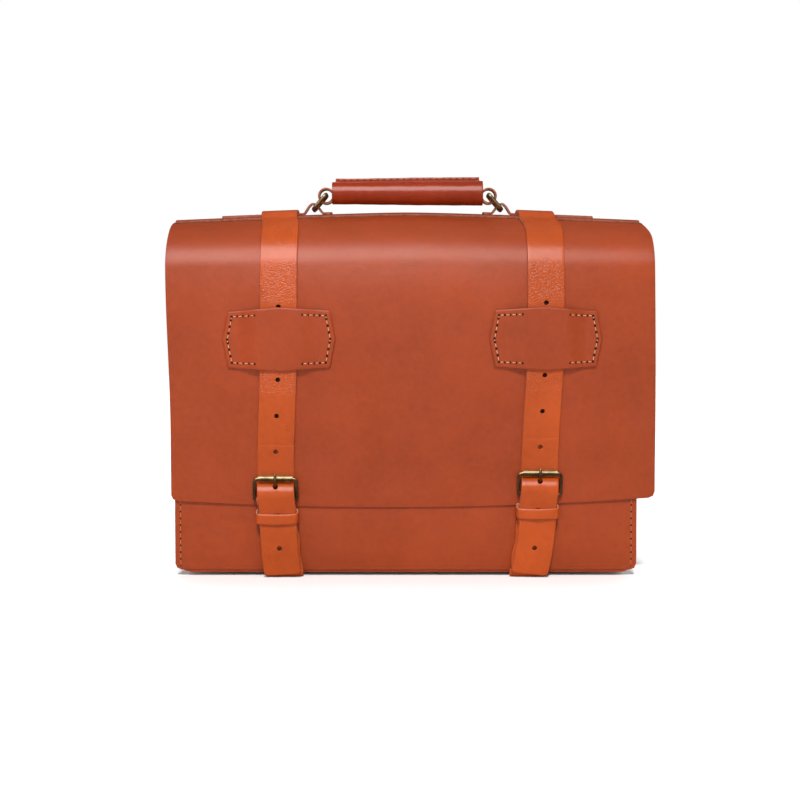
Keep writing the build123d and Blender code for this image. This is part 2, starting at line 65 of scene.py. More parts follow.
# sizes read from the frame
FLAP_LOW, FLAP_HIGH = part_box("flap_front_panel")
PANEL_LOW, PANEL_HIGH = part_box("front_panel")
BACK_LOW, BACK_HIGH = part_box("back_panel")
GRIP_LOW, GRIP_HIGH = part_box("handle_grip")
STRIP_LOW, STRIP_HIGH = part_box("top_strip")
LOOP_LOW, LOOP_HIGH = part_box("handle_strap")
STRAP_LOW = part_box("strap_back_left")[0]
TOP_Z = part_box("flap_top_panel")[1][2]
CASE_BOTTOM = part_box("gusset_base")[0][2]
GUSSET_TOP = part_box("gusset_left")[1][2]
HANDLE_Y = middle("handle_grip")[1]
HANDLE_Z = middle("handle_core")[2]

# thicknesses of leather
LEATHER = 0.0022
GUSSET_LEATHER = 0.002
STRIP = 0.002
PLATE = 0.0018
STRAP = 0.0028
GUIDE = 0.0024
CHAPE = 0.0018
KEEPER = 0.0016
GRIP_WALL = 0.0013
LOOP_LEATHER = 0.0018

FRONT_Y = PANEL_LOW[1]
FLAP_Y = FLAP_LOW[1] + LEATHER / 2
BACK_Y = BACK_HIGH[1]
BACK_MID_Y = BACK_Y - LEATHER / 2
TOP_MID_Z = TOP_Z - LEATHER / 2
FLAP_HALF = FLAP_HIGH[0]
FLAP_BOTTOM = FLAP_LOW[2]
PANEL_HALF = PANEL_HIGH[0]
STRAP_HALF = 0.015
SIDES = ("left", "right")
SIGN = {"left": -1, "right": 1}

# how the cover has settled; a pair is where a soft step starts and how far it runs
BACK_FOLD = 0.012
FRONT_FOLD_DEPTH = 0.062
FRONT_FOLD_HEIGHT = 0.041
CROWN = 0.0012
CROWN_DROP = 0.0068
CROWN_SOFT = 0.015
CROWN_POWER = 1.25
CROWN_BACK = (0.18, 0.12)
HEM_SAG = -0.004
HEM_RISE = 0.0068
HEM_TILT = 0.0014
HEM_FLARE = 0.002
FLARE = 0.006
FLARE_SHIFT = -0.0024
FLARE_STEP = (0.12, 0.15)
FLAP_SHIFT = 0.0043
BODY_SHIFT = -0.0015
BODY_SHIFT_STEP = (0.2, 0.09)
FRONT_STEP = (0.016 - HANDLE_Y, 0.03)
BELLY = 0.0075
BELLY_SIDES = 0.6
BELLY_STEP = (0.06, 0.15)
BELLY_TOP, BELLY_FADE, BELLY_SOFT = 0.205, 0.08, 1.6

# how a pattern is cut
CELL = 0.005
FINE_CELL = 0.0025
EDGE = 0.00035
HOLE = 0.0018
HOLE_CELL = 0.002
HOLE_COLLAR = 1.35
# GRAIN, RIM and FLESH_SIDE are the leather's own faces; the last slot is the insides of holes,
# painted near black as painted shade
GRAIN, RIM, FLESH_SIDE, HOLE_SHADE_SLOT = range(4)


def smooth(t):
    """0 below 0, 1 above 1, and a soft step between."""
    t = np.clip(t, 0, 1)
    return t * t * (3 - 2 * t)


def step(value, start, run):
    """A soft step from 0 at start to 1 a run further."""
    return smooth((value - start) / run)


# ---------------------------------------------------------------- lines in a plane
class Line2:
    """A line in a plane, measured along its length; outward is on the right of travel."""

    def __init__(self, points):
        self.points = np.array(points, float)
        runs = np.linalg.norm(np.diff(self.points, axis=0), axis=1)
        self.points = self.points[np.concatenate(([True], runs > 1e-7))]
        runs = np.linalg.norm(np.diff(self.points, axis=0), axis=1)
        self.along = np.concatenate(([0], np.cumsum(runs)))
        self.length = self.along[-1]
        heading = np.gradient(self.points, self.along, axis=0)
        heading /= np.linalg.norm(heading, axis=1)[:, None]
        self.outward = np.stack((heading[:, 1], -heading[:, 0]), axis=1)

    def at(self, v, w):
        """The point at length v, w out from the line."""
        place = [np.interp(v, self.along, self.points[:, k]) for k in (0, 1)]
        out = [np.interp(v, self.along, self.outward[:, k]) for k in (0, 1)]
        return place[0] + out[0] * w, place[1] + out[1] * w

    def where(self, axis, value, after=0.0):
        """The first length beyond after at which a coordinate passes a value."""
        for index in range(1, len(self.points)):
            a, b = self.points[index - 1, axis], self.points[index, axis]
            if self.along[index] > after and min(a, b) <= value <= max(a, b) and a != b:
                start, end = self.along[index - 1], self.along[index]
                return start + (value - a) / (b - a) * (end - start)
        raise ValueError(f"the line never passes {value}")


def dense(line, spacing=0.002):
    """The line through some points, with no two of its points much further apart than a spacing."""
    line = [np.array(p, float) for p in line]
    points = [line[0]]
    for a, b in zip(line, line[1:]):
        count = max(1, int(np.linalg.norm(b - a) / spacing))
        points += [a + (b - a) * (k + 1) / count for k in range(count)]
    return Line2(points)


def arc(centre, radii, start, end, count):
    """Points of an ellipse's arc."""
    (a, b), (reach_a, reach_b) = centre, radii
    angles = np.linspace(start, end, count)
    return [(a + reach_a * math.cos(t), b + reach_b * math.sin(t)) for t in angles]


def rounded(points, radius, spacing=0.0004):
    """A polyline with its corners rounded by arcs, as close points."""
    points = [np.array(p, float) for p in points]
    line = [points[0]]
    for before, corner, after in zip(points, points[1:], points[2:]):
        a, b = before - corner, after - corner
        len_a, len_b = np.linalg.norm(a), np.linalg.norm(b)
        a, b = a / len_a, b / len_b
        half = math.acos(max(-1.0, min(1.0, float(a @ b)))) / 2
        cut = min(radius / math.tan(half), 0.49 * len_a, 0.49 * len_b)
        bend = cut * math.tan(half)
        centre = corner + (a + b) / np.linalg.norm(a + b) * bend / math.sin(half)
        start, end = corner + a * cut, corner + b * cut
        first = math.atan2(*(start - centre)[::-1])
        turn = math.atan2(*(end - centre)[::-1]) - first
        turn = (turn + math.pi) % (2 * math.pi) - math.pi
        count = max(3, int(abs(turn) * bend / spacing))
        line += arc(centre, (bend, bend), first, first + turn, count + 1)
    return dense([*line, points[-1]])


def cover_line():
    """The one line of the whole cover: up the back, over the top and down the front."""
    back = (BACK_MID_Y - BACK_FOLD, TOP_MID_Z - BACK_FOLD)
    front = (FLAP_Y + FRONT_FOLD_DEPTH, TOP_MID_Z - FRONT_FOLD_HEIGHT)
    quarter = math.pi / 2
    line = [(BACK_MID_Y, BACK_LOW[2])]
    line += arc(back, (BACK_FOLD, BACK_FOLD), 0, quarter, 25)
    line += arc(front, (FRONT_FOLD_DEPTH, FRONT_FOLD_HEIGHT), quarter, 2 * quarter, 60)
    return dense([*line, (FLAP_Y, FLAP_BOTTOM)])


COVER = cover_line()
TOP_V = COVER.where(1, TOP_MID_Z - 1e-5, COVER.where(1, TOP_MID_Z - BACK_FOLD) + 0.005)
HANDLE_V = COVER.where(0, HANDLE_Y, TOP_V)
END_V = COVER.length - HANDLE_V


def slump(y):
    """How far the cover lies below its highest line at a place on the top, in front of it."""
    share = np.clip((FLAP_Y + FRONT_FOLD_DEPTH - y) / FRONT_FOLD_DEPTH, 0, 1)
    return FRONT_FOLD_HEIGHT * (1 - np.sqrt(1 - share**2))


def crown(x):
    """How far the top stands above its nominal height at a place across the case."""
    return CROWN - CROWN_DROP * (np.hypot(x, CROWN_SOFT) / FLAP_HALF) ** CROWN_POWER


def frontness(y):
    """0 on the back and under the top strip, 1 on the front of the flap."""
    return step(-y, *FRONT_STEP)


def spread(y, z):
    """How much wider than its pattern the flap lies, and how far to the side."""
    front = frontness(y)
    flared = front * step(z, *FLARE_STEP)
    return 1 + HEM_FLARE * front + FLARE * flared, FLAP_SHIFT * front + FLARE_SHIFT * flared


def unsettled_x(x, y, z):
    """Where on the flap's pattern something lies that is seen at x."""
    wide, aside = spread(y, z)
    return (x - aside) / wide


def back_shift(y, z):
    """The back goes with the body, which stands a little to one side of the top."""
    return BODY_SHIFT * (1 - step(z, *BODY_SHIFT_STEP)) * (y > HANDLE_Y)


def belly(share, y, z):
    """How far the front bulges: most below its middle, running out softly into the fold."""
    fade = smooth(np.clip((z - BELLY_TOP) / BELLY_FADE, 0, 1) ** BELLY_SOFT)
    bulge = BELLY * step(z, *BELLY_STEP) * (1 - fade)
    return bulge * (1 - BELLY_SIDES * share**2) * frontness(y)


def settle(x, y, z):
    """The cover's sag: crowned at the top, bowed at the hem, a little wider at the fold."""
    share = x / FLAP_HALF
    high = np.clip((z - FLAP_BOTTOM) / (TOP_Z - FLAP_BOTTOM), 0, 1.2)
    hem = HEM_SAG + HEM_RISE * share**2 + HEM_TILT * share
    front = frontness(y)
    dz_front = crown(x) * high + hem * (1 - high)
    dz_back = crown(x) * step(z, *CROWN_BACK)
    wide, aside = spread(y, z)
    aside = aside + back_shift(y, z)
    return x * wide + aside, y - belly(share, y, z), z + dz_front * front + dz_back * (1 - front)


def on_cover(u, v, w):
    """A point of something that lies on the cover, v measured from the handle's line."""
    y, z = COVER.at(v + HANDLE_V, w)
    return settle(u, y, z)


# ---------------------------------------------------------------- flat patterns
def lines(start, end, size=CELL, at=()):
    """Grid lines from start to end, near one size apart, that pass through the places in at."""
    stops = sorted({start, end, *[p for p in at if start < p < end]})
    out = [start]
    for a, b in zip(stops, stops[1:]):
        count = max(1, round((b - a) / size))
        out += [a + (b - a) * (k + 1) / count for k in range(count)]
    return np.array(out)


def chain(*stretches):
    """Grid lines over stretches that follow each other, each as lines() takes it."""
    first, *others = (lines(*stretch) for stretch in stretches)
    return np.concatenate([first, *[stretch[1:] for stretch in others]])


def hole_lines(places, cell=HOLE_CELL):
    """Grid lines that a punched hole at each place needs."""
    return [p + k * cell for p in places for k in (-2, -1, 0, 1, 2)]


def nearest(values, value):
    return int(np.argmin(np.abs(np.asarray(values) - value)))


def cut(us, vs, holes, gaps):
    """A flat pattern: its points, its faces, and the points round each hole."""
    nu = len(us)
    flat = [(u, v) for v in vs for u in us]
    quads = {(i, j) for j in range(len(vs) - 1) for i in range(nu - 1)}
    for u0, u1, v0, v1 in gaps:
        open_i = {i for i in range(nu - 1) if u0 < (us[i] + us[i + 1]) / 2 < u1}
        open_j = {j for j in range(len(vs) - 1) if v0 < (vs[j] + vs[j + 1]) / 2 < v1}
        quads -= {(i, j) for i in open_i for j in open_j}
    faces, rims = [], []
    for hole_u, hole_v, half_u, half_v in holes:
        ci, cj = nearest(us, hole_u), nearest(vs, hole_v)
        quads -= {(i, j) for i in range(ci - 2, ci + 2) for j in range(cj - 2, cj + 2)}
        ring = [(ci - 2 + k, cj - 2) for k in range(4)] + [(ci + 2, cj - 2 + k) for k in range(4)]
        ring += [(ci + 2 - k, cj + 2) for k in range(4)] + [(ci - 2, cj + 2 - k) for k in range(4)]
        outer = [j * nu + i for i, j in ring]
        for grow in (HOLE_COLLAR, 1.0):
            inner = list(range(len(flat), len(flat) + len(ring)))
            for i, j in ring:
                angle = math.atan2(vs[j] - vs[cj], us[i] - us[ci])
                u = us[ci] + grow * half_u * math.cos(angle)
                flat.append((u, vs[cj] + grow * half_v * math.sin(angle)))
            for k in range(len(ring)):
                n = (k + 1) % len(ring)
                faces.append((outer[k], outer[n], inner[n], inner[k]))
            outer = inner
        rims.append(outer)
    for i, j in sorted(quads):
        a = j * nu + i
        faces.append((a, a + 1, a + nu + 1, a + nu))
    used = sorted({k for f in faces for k in f})
    index = {k: n for n, k in enumerate(used)}
    faces = [tuple(index[k] for k in f) for f in faces]
    return np.array(flat, float)[used], faces, [[index[k] for k in rim] for rim in rims]


def leather(name, us, vs, place, thick, finish, holes=(), gaps=(), warp=None, butt=(),
            turned=EDGE, blind=False):
    """A piece of leather from its flat pattern.

    holes are (u, v, half width, half length), each in a block of four cells; gaps are open boxes
    (u0, u1, v0, v1); butt names the v ends, 0 or 1, that meet another piece and stay square; blind
    holes stop just above the flesh side.
    """
    flat, faces, hole_rings = cut(us, vs, holes, gaps)
    punched = {k for ring in hole_rings for k in ring}
    square = np.zeros(len(flat), bool)
    for end in butt:
        square |= np.abs(flat[:, 1] - vs[-end]) < 1e-9
    if warp:
        flat = np.stack(warp(flat[:, 0], flat[:, 1]), axis=1)

    edges = dict.fromkeys((a, b) for f in faces for a, b in zip(f, f[1:] + f[:1]))
    rim = [(a, b) for a, b in edges if (b, a) not in edges]
    inward = np.zeros((len(flat), 2))
    for a, b in rim:
        if square[a] and square[b]:
            continue
        d = flat[b] - flat[a]
        normal = np.array((-d[1], d[0])) / np.linalg.norm(d)
        inward[a] += normal
        inward[b] += normal
    size = np.linalg.norm(inward, axis=1)
    on_edge = size > 1e-9
    inward[on_edge] /= size[on_edge][:, None]

    # the two faces, pulled in from the edge, and the two lines of the edge between them
    turn = min(turned, thick * 0.4)
    rim_points = sorted({k for pair in rim for k in pair})
    rim_at = {k: index for index, k in enumerate(rim_points)}
    count, many = len(flat), len(rim_points)
    pulled = flat + inward * turn
    u, v = np.concatenate((pulled, pulled, flat[rim_points], flat[rim_points])).T
    heights = (thick / 2, -thick / 2, thick / 2 - turn, turn - thick / 2)
    w = np.repeat(heights, (count, count, many, many))
    points = np.stack(np.broadcast_arrays(*place(u, v, w)), axis=1)
    polygons, slots = [], []
    for f in faces:
        polygons += [f, tuple(k + count for k in reversed(f))]
        slots += [GRAIN, FLESH_SIDE]
    # a blind hole gets a floor in the hole slot: a near-black sheet that stands for the shade at
    # the bottom of the hole
    if blind:
        for ring in hole_rings:
            polygons += [tuple(2 * count + many + rim_at[k] for k in ring)]
            polygons += [tuple(k + count for k in ring)]
            slots += [HOLE_SHADE_SLOT, FLESH_SIDE]
    for a, b in rim:
        upper_a, upper_b = 2 * count + rim_at[a], 2 * count + rim_at[b]
        lower_a, lower_b = upper_a + many, upper_b + many
        polygons += [(b, a, upper_a, upper_b), (upper_b, upper_a, lower_a, lower_b)]
        # hole walls, and the flesh side round them, take the near-black hole slot: painted shade
        # inside the hole
        through = a in punched and b in punched
        slots += [GRAIN, HOLE_SHADE_SLOT if through else RIM]
        if not (blind and through):
            polygons.append((lower_b, lower_a, a + count, b + count))
            slots.append(HOLE_SHADE_SLOT if through else FLESH_SIDE)
    return new_mesh(name, points, polygons, slots, finish)


def shade_evenly(obj):
    even = obj.modifiers.new("even shading", "WEIGHTED_NORMAL")
    even.keep_sharp = True


def new_mesh(name, points, polygons, slots, finish):
    """A smooth-shaded object from points and faces, with each face's slot in the finish."""
    mesh = bpy.data.meshes.new(name)
    mesh.from_pydata([tuple(map(float, p)) for p in points], [], polygons)
    for material in finish:
        mesh.materials.append(material)
    mesh.polygons.foreach_set("material_index", slots)
    mesh.polygons.foreach_set("use_smooth", [True] * len(polygons))
    mesh.validate()
    whole = bmesh.new()
    whole.from_mesh(mesh)
    bmesh.ops.recalc_face_normals(whole, faces=whole.faces)
    whole.to_mesh(mesh)
    whole.free()
    obj = bpy.data.objects.new(name, mesh)
    bpy.context.scene.collection.objects.link(obj)
    shade_evenly(obj)
    return obj


def round_corners(half, start, end, radius, at_start=False, at_end=True):
    """A warp that rounds the corners of a rectangular pattern."""

    def warp(u, v):
        for on, limit, sense in ((at_start, start, -1), (at_end, end, 1)):
            if not on:
                continue
            a = (np.abs(u) - (half - radius)) / radius
            b = (sense * (v - limit) + radius) / radius
            inside = (a > 0) & (b > 0)
            far = np.hypot(a, b)
            scale = np.where(inside, np.maximum(a, b) / np.maximum(far, 1e-9), 1)
            u = np.where(inside, np.sign(u) * (half - radius + radius * a * scale), u)
            v = np.where(inside, limit + sense * (radius * b * scale - radius), v)
        return u, v

    return warp


# ---------------------------------------------------------------- thread and holes
THREAD_LIFT = 0.00022
THREAD_RINGS, THREAD_SIDES = 7, 6
NEEDLE_SIDES = 10
NEEDLE_ABOVE, NEEDLE_BELOW = 0.00004, 0.00026
PITCH = 0.0056


def circle(centre, a, b, sides):
    """Points round a centre, from one half-axis towards the other."""
    turns = [2 * math.pi * k / sides for k in range(sides)]
    return [centre + math.cos(t) * a + math.sin(t) * b for t in turns]


def skin(first, rings, sides):
    """The faces of a tube made of rings of points, closed at both ends."""
    last = first + (rings - 1) * sides
    faces = []
    for base in range(first, last, sides):
        for k in range(sides):
            n = (k + 1) % sides
            faces.append((base + k, base + n, base + sides + n, base + sides + k))
    ends = [tuple(reversed(range(first, first + sides))), tuple(range(last, last + sides))]
    return faces + ends


def stitches(name, rows, finish, thread=0.00026, hole=0.00074, shown=0.76):
    """One mesh of thread and needle holes; each row is (list of points and their outward normals).

    thread and hole are radii, and shown is the share of each stitch that lies above the leather.
    """
    points, polygons, slots = [], [], []

    def add(rings, sides, slot):
        faces = skin(len(points), len(rings), sides)
        points.extend(p for ring in rings for p in ring)
        polygons.extend(faces)
        slots.extend([slot] * len(faces))

    for row in rows:
        for (a, n_a), (b, n_b) in zip(row, row[1:]):
            along = (b - a) / np.linalg.norm(b - a)
            rings = []
            for t in np.arange(THREAD_RINGS) / (THREAD_RINGS - 1):
                normal = n_a * (1 - t) + n_b * t
                normal /= np.linalg.norm(normal)
                bow = max(0.0, math.sin(math.pi * t))
                height = THREAD_LIFT * bow**0.6 - thread * 0.6
                width = thread * (0.55 + 0.45 * bow**0.5)
                place = a + (b - a) * (0.5 + (t - 0.5) * shown) + normal * height
                across = np.cross(along, normal)
                rings.append(circle(place, across * width, normal * width, THREAD_SIDES))
            add(rings, THREAD_SIDES, 0)
        # each needle hole is a short near-black tube sunk into the leather: painted shade in the
        # hole
        for place, normal in row:
            side = np.cross(normal, (0.3, 0.9, 0.31))
            side *= hole / np.linalg.norm(side)
            other = np.cross(normal, side)
            ends = (place + normal * NEEDLE_ABOVE, place - normal * NEEDLE_BELOW)
            add([circle(end, side, other, NEEDLE_SIDES) for end in ends], NEEDLE_SIDES, 1)
    return new_mesh(name, points, polygons, slots, [finish, PAINTED_HOLE_SHADE])


def on_surface(place, u, v, w):
    """The point and the normal of a placed surface at (u, v)."""
    low, high = (
        np.array([float(q) for q in place(np.array(u), np.array(v), np.array(h))])
        for h in (w, w + 0.001)
    )
    return low, (high - low) / np.linalg.norm(high - low)


def row_on(place, start, end, w):
    """Evenly spaced places from one flat point to another, with their normals, on a surface."""
    start, end = np.array(start, float), np.array(end, float)
    count = max(1, round(np.linalg.norm(end - start) / PITCH))
    return [on_surface(place, *(start + (end - start) * k / count), w) for k in range(count + 1)]


# ---------------------------------------------------------------- what a piece belongs to
def stands_for(piece, slot, *nodes):
    """The piece takes the place of some CAD nodes, which it hides; slot is not used."""
    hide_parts(*nodes)


def riding(piece, body, slot, *nodes):
    """The piece goes with one body, in the place of some of its nodes."""
    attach(piece, body)
    stands_for(piece, slot, *nodes)


def seam(name, body, node, rows, finish, **look):
    """Rows of stitches that go with one body, in the place of its thread."""
    riding(stitches(name, rows, finish, **look), body, "thread", node)


# ---------------------------------------------------------------- materials
class Shader:
    """A new material with its Principled shader, and short ways to build on it."""

    def __init__(self, name):
        self.material = bpy.data.materials.new(name)
        self.material.use_nodes = True
        self.tree = self.material.node_tree
        self.principled = self.tree.nodes["Principled BSDF"]
        self.coordinates = None

    def node(self, kind, **values):
        """A node with its inputs, or else its settings, set to values."""
        made = self.tree.nodes.new("ShaderNode" + kind)
        for key, value in values.items():
            if key in made.inputs:
                made.inputs[key].default_value = value
            else:
                setattr(made, key, value)
        return made

    def join(self, a, out, b, into):
        self.tree.links.new(a.outputs[out], b.inputs[into])

    def finish(self, a, out, into):
        self.join(a, out, self.principled, into)

    def fix(self, name, value):
        self.principled.inputs[name].default_value = value

    def texture(self, kind="TexNoise", **values):
        """A texture or another node over the object's own coordinates."""
        if self.coordinates is None:
            self.coordinates = self.node("TexCoord")
        made = self.node(kind, **values)
        self.join(self.coordinates, "Object", made, "Vector")
        return made

    def mottled(self, low, high, scale, detail=4.0):
        """A colour that drifts between two tones."""
        noise = self.texture(Scale=scale, Detail=detail, Roughness=0.6)
        ramp = self.node("ValToRGB")
        for stop, place, colour in zip(ramp.color_ramp.elements, (0.32, 0.68), (low, high)):
            stop.position = place
            stop.color = (*colour, 1)
        self.join(noise, "Fac", ramp, "Fac")
        return ramp

    def between(self, source, out, low, high):
        """A value from 0 to 1 brought between two others."""
        scaled = self.node("MapRange", **{"To Min": low, "To Max": high})
        self.join(source, out, scaled, "Value")
        return scaled

    def bump(self, source, out, strength, distance, below=None):
        """Relief from a height, on top of the relief below it."""
        relief = self.node("Bump", Strength=strength, Distance=distance)
        self.join(source, out, relief, "Height")
        if below:
            self.join(below, "Normal", relief, "Normal")
        return relief


CREASE_BANDS = ((0.241, 0.024), (0.160, 0.017))


def creases(made, below):
    """Fine crossing creases where the straps bend, above and below the guide plates, as a bump."""
    place = made.texture("SeparateXYZ")
    where = made.node("Math", operation="MAXIMUM")
    for index, (centre, reach) in enumerate(CREASE_BANDS):
        off = made.node("Math", operation="SUBTRACT")
        off.inputs[1].default_value = centre
        far = made.node("Math", operation="ABSOLUTE")
        limits = {"From Min": reach, "From Max": reach * 0.4}
        band = made.node("MapRange", interpolation_type="SMOOTHSTEP", **limits)
        made.join(place, "Z", off, 0)
        made.join(off, 0, far, 0)
        made.join(far, 0, band, "Value")
        made.join(band, "Result", where, index)
    turned = (0.0, math.radians(24), 0.0)
    bend = made.texture("Mapping", Scale=(1.0, 1.0, 1.7), Rotation=turned)
    cracks = made.node("TexVoronoi", feature="DISTANCE_TO_EDGE", Scale=330.0, Randomness=1.0)
    made.join(bend, "Vector", cracks, "Vector")
    depth = made.node("MapRange", **{"From Max": 0.16})
    made.join(cracks, "Distance", depth, "Value")
    height = made.node("Math", operation="MULTIPLY")
    made.join(depth, "Result", height, 0)
    made.join(where, 0, height, 1)
    return made.bump(height, 0, 0.55, 0.0003, below)


def tone(colour, factor):
    return tuple(min(1.0, c * factor) for c in colour)


def leather_material(name, colour, rough, grain, gloss, drift=0.10, grain_size=900.0,
                     creased=False):
    """Dyed leather: drifting colour, fine pebbled grain, uneven polish."""
    made = Shader(name)
    broad = made.mottled(tone(colour, 1 - drift), tone(colour, 1 + drift), 14.0)
    fine = made.mottled((0.86, 0.84, 0.82), (1.06, 1.06, 1.06), 210.0, 6.0)
    mix = made.node("Mix", data_type="RGBA", blend_type="MULTIPLY", Factor=0.65)
    made.join(broad, "Color", mix, "A")
    made.join(fine, "Color", mix, "B")
    made.finish(mix, "Result", "Base Color")
    polish = made.texture(Scale=26.0, Detail=3.0)
    made.finish(made.between(polish, "Fac", rough - 0.06, rough + 0.08), "Result", "Roughness")
    pebble = made.texture("TexVoronoi", feature="F1", Scale=grain_size)
    pores = made.texture(Scale=2600.0, Detail=2.0)
    waves = made.texture(Scale=75.0, Detail=3.0)
    relief = made.bump(pebble, "Distance", grain, 0.00012)
    relief = made.bump(pores, "Fac", grain * 0.8, 0.00008, relief)
    relief = made.bump(waves, "Fac", 0.35, 0.0006, relief)
    if creased:
        relief = creases(made, relief)
    made.finish(relief, "Normal", "Normal")
    made.fix("Specular IOR Level", gloss)
    return made.material


def rough_material(name, low, high, scale, rough, bump, bump_scale):
    """A matte material with a drifting colour and a fibrous or grimy surface."""
    made = Shader(name)
    made.finish(made.mottled(low, high, scale, 5.0), "Color", "Base Color")
    fibre = made.texture(Scale=bump_scale, Detail=4.0)
    made.finish(made.bump(fibre, "Fac", bump, 0.0002), "Normal", "Normal")
    made.fix("Roughness", rough)
    made.fix("Specular IOR Level", 0.3)
    return made.material


def brass_material(name):
    """Antique brass: brown patina, rubbed bright in patches."""
    made = Shader(name)
    colour = made.mottled((0.22, 0.15, 0.07), (0.56, 0.42, 0.22), 160.0, 6.0)
    made.finish(colour, "Color", "Base Color")
    wear = made.texture(Scale=420.0, Detail=5.0)
    made.finish(made.between(wear, "Fac", 0.28, 0.52), "Result", "Roughness")
    made.finish(made.bump(wear, "Fac", 0.25, 0.0002), "Normal", "Normal")
    made.fix("Metallic", 1.0)
    return made.material


BODY = leather_material(
    "body_leather_grain", (0.252, 0.0320, 0.0028), 0.38, grain=0.28, gloss=0.50
)
STRAP_SKIN = leather_material(
    "strap_leather_grain", (0.335, 0.047, 0.0024), 0.29, grain=0.22, gloss=0.58, drift=0.12,
    creased=True,
)
GRIP_SKIN = leather_material(
    "grip_leather_grain", (0.225, 0.019, 0.001), 0.24, grain=0.4, gloss=0.6, grain_size=700.0
)
EDGE_DYE = rough_material(
    "edge_dye", (0.38, 0.12, 0.07), (0.60, 0.25, 0.165), 300.0, 0.6, 0.5, 1800.0
)
# the same edge dye darkened for the top strip, handle bases and handle, whose edges are seen in
# shade: painted shade
EDGE_PAINTED_SHADE = rough_material(
    "edge_dye_painted_shade", (0.17, 0.045, 0.022), (0.32, 0.11, 0.065), 300.0, 0.6, 0.5, 1800.0
)
FLESH = rough_material(
    "flesh_side", (0.33, 0.15, 0.095), (0.39, 0.19, 0.13), 240.0, 0.85, 0.9, 1400.0
)
THREAD = rough_material(
    "waxed_thread", (0.50, 0.27, 0.14), (0.74, 0.48, 0.29), 900.0, 0.6, 0.8, 5000.0
)
DARK_THREAD = rough_material(
    "dyed_thread", (0.30, 0.09, 0.035), (0.46, 0.17, 0.08), 900.0, 0.6, 0.8, 5000.0
)
# near black for the walls and floors of punched holes and for needle holes: painted shade, not the
# leather's own colour
PAINTED_HOLE_SHADE = rough_material(
    "hole_painted_shade", (0.012, 0.003, 0.002), (0.03, 0.008, 0.005), 400.0, 0.9, 0.1, 900.0
)
FILLING = rough_material(
    "filling_felt", (0.20, 0.10, 0.07), (0.30, 0.16, 0.12), 300.0, 0.95, 0.9, 1500.0
)
BRASS = brass_material("antique_brass_aged")
# the last slot of every set is the near-black painted shade inside holes
BODY_SET = [BODY, EDGE_DYE, FLESH, PAINTED_HOLE_SHADE]
# TOP_SET and GRIP_SET edge their pieces in the darkened edge dye: painted shade
TOP_SET = [BODY, EDGE_PAINTED_SHADE, FLESH, PAINTED_HOLE_SHADE]
STRAP_SET = [STRAP_SKIN, EDGE_DYE, FLESH, PAINTED_HOLE_SHADE]
GRIP_SET = [GRIP_SKIN, EDGE_PAINTED_SHADE, FLESH, PAINTED_HOLE_SHADE]
# the gusset and the chapes show their grain on both sides
GUSSET_SET = [BODY, EDGE_DYE, BODY, PAINTED_HOLE_SHADE]
CHAPE_SET = [STRAP_SKIN, EDGE_DYE, STRAP_SKIN, PAINTED_HOLE_SHADE]

# ---------------------------------------------------------------- the case
SEAM_LOW = 0.0085
SEAM_X = PANEL_HALF - 0.0045
PANEL_CORNER = 0.005
BULGE, BULGE_Z, BULGE_REACH = 0.0016, 0.035, 0.03
TUCK, TUCK_RUN = 0.0012, 0.012
WALL_LEAN = 0.0035
WALL_LEAN_STEP = (0.22, 0.05)


def wall_lean(z):
    """The front wall leans back under the flap's fold."""
    return WALL_LEAN * step(z, *WALL_LEAN_STEP)


def on_front_panel(u, v, w):
    """The front wall, with v its height: it swells a little low down and tucks in at its foot."""
    swell = BULGE * np.exp(-(((v - BULGE_Z) / BULGE_REACH) ** 2)) * (1 - (u / PANEL_HALF) ** 4)
    tuck = TUCK * (1 - step(v, PANEL_LOW[2], TUCK_RUN))
    return u + BODY_SHIFT, FRONT_Y + LEATHER / 2 - w - swell + tuck + wall_lean(v), v


front_panel = leather(
    "front_wall_leather",
    lines(-PANEL_HALF, PANEL_HALF),
    lines(PANEL_LOW[2], PANEL_HIGH[2]),
    on_front_panel,
    LEATHER,
    BODY_SET,
    warp=round_corners(PANEL_HALF, PANEL_LOW[2], PANEL_HIGH[2], PANEL_CORNER, True, False),
)
riding(front_panel, "case", "body_leather", "front_panel")

# the cover: its back reaches the handle's line, and its front goes on from there
WIDTH_AT_BACK = PANEL_HALF / FLAP_HALF
NARROW_STEP = (-0.062, 0.05)
BACK_FINE, FRONT_FINE = -0.075, 0.08


def back_warp(u, v):
    """The cover narrows from the flap's width to the case's as it comes down the back."""
    u, v = round_corners(FLAP_HALF, -HANDLE_V, 0, PANEL_CORNER, True, False)(u, v)
    return u * (WIDTH_AT_BACK + (1 - WIDTH_AT_BACK) * step(v, *NARROW_STEP)), v


cover_back = leather(
    "cover_back_leather",
    lines(-FLAP_HALF, FLAP_HALF),
    chain((-HANDLE_V, BACK_FINE), (BACK_FINE, 0, FINE_CELL)),
    on_cover,
    LEATHER,
    BODY_SET,
    warp=back_warp,
    butt=(1,),
)
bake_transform(cover_back)
stands_for(cover_back, "body_leather", "back_panel", "flap_top_panel")

cover_front = leather(
    "cover_front_leather",
    lines(-FLAP_HALF, FLAP_HALF),
    chain((0, FRONT_FINE, FINE_CELL), (FRONT_FINE, END_V)),
    on_cover,
    LEATHER,
    BODY_SET,
    warp=round_corners(FLAP_HALF, 0, END_V, 0.005),
    butt=(0,),
)
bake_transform(cover_front)
stands_for(cover_front, "body_leather", "flap_front_panel")

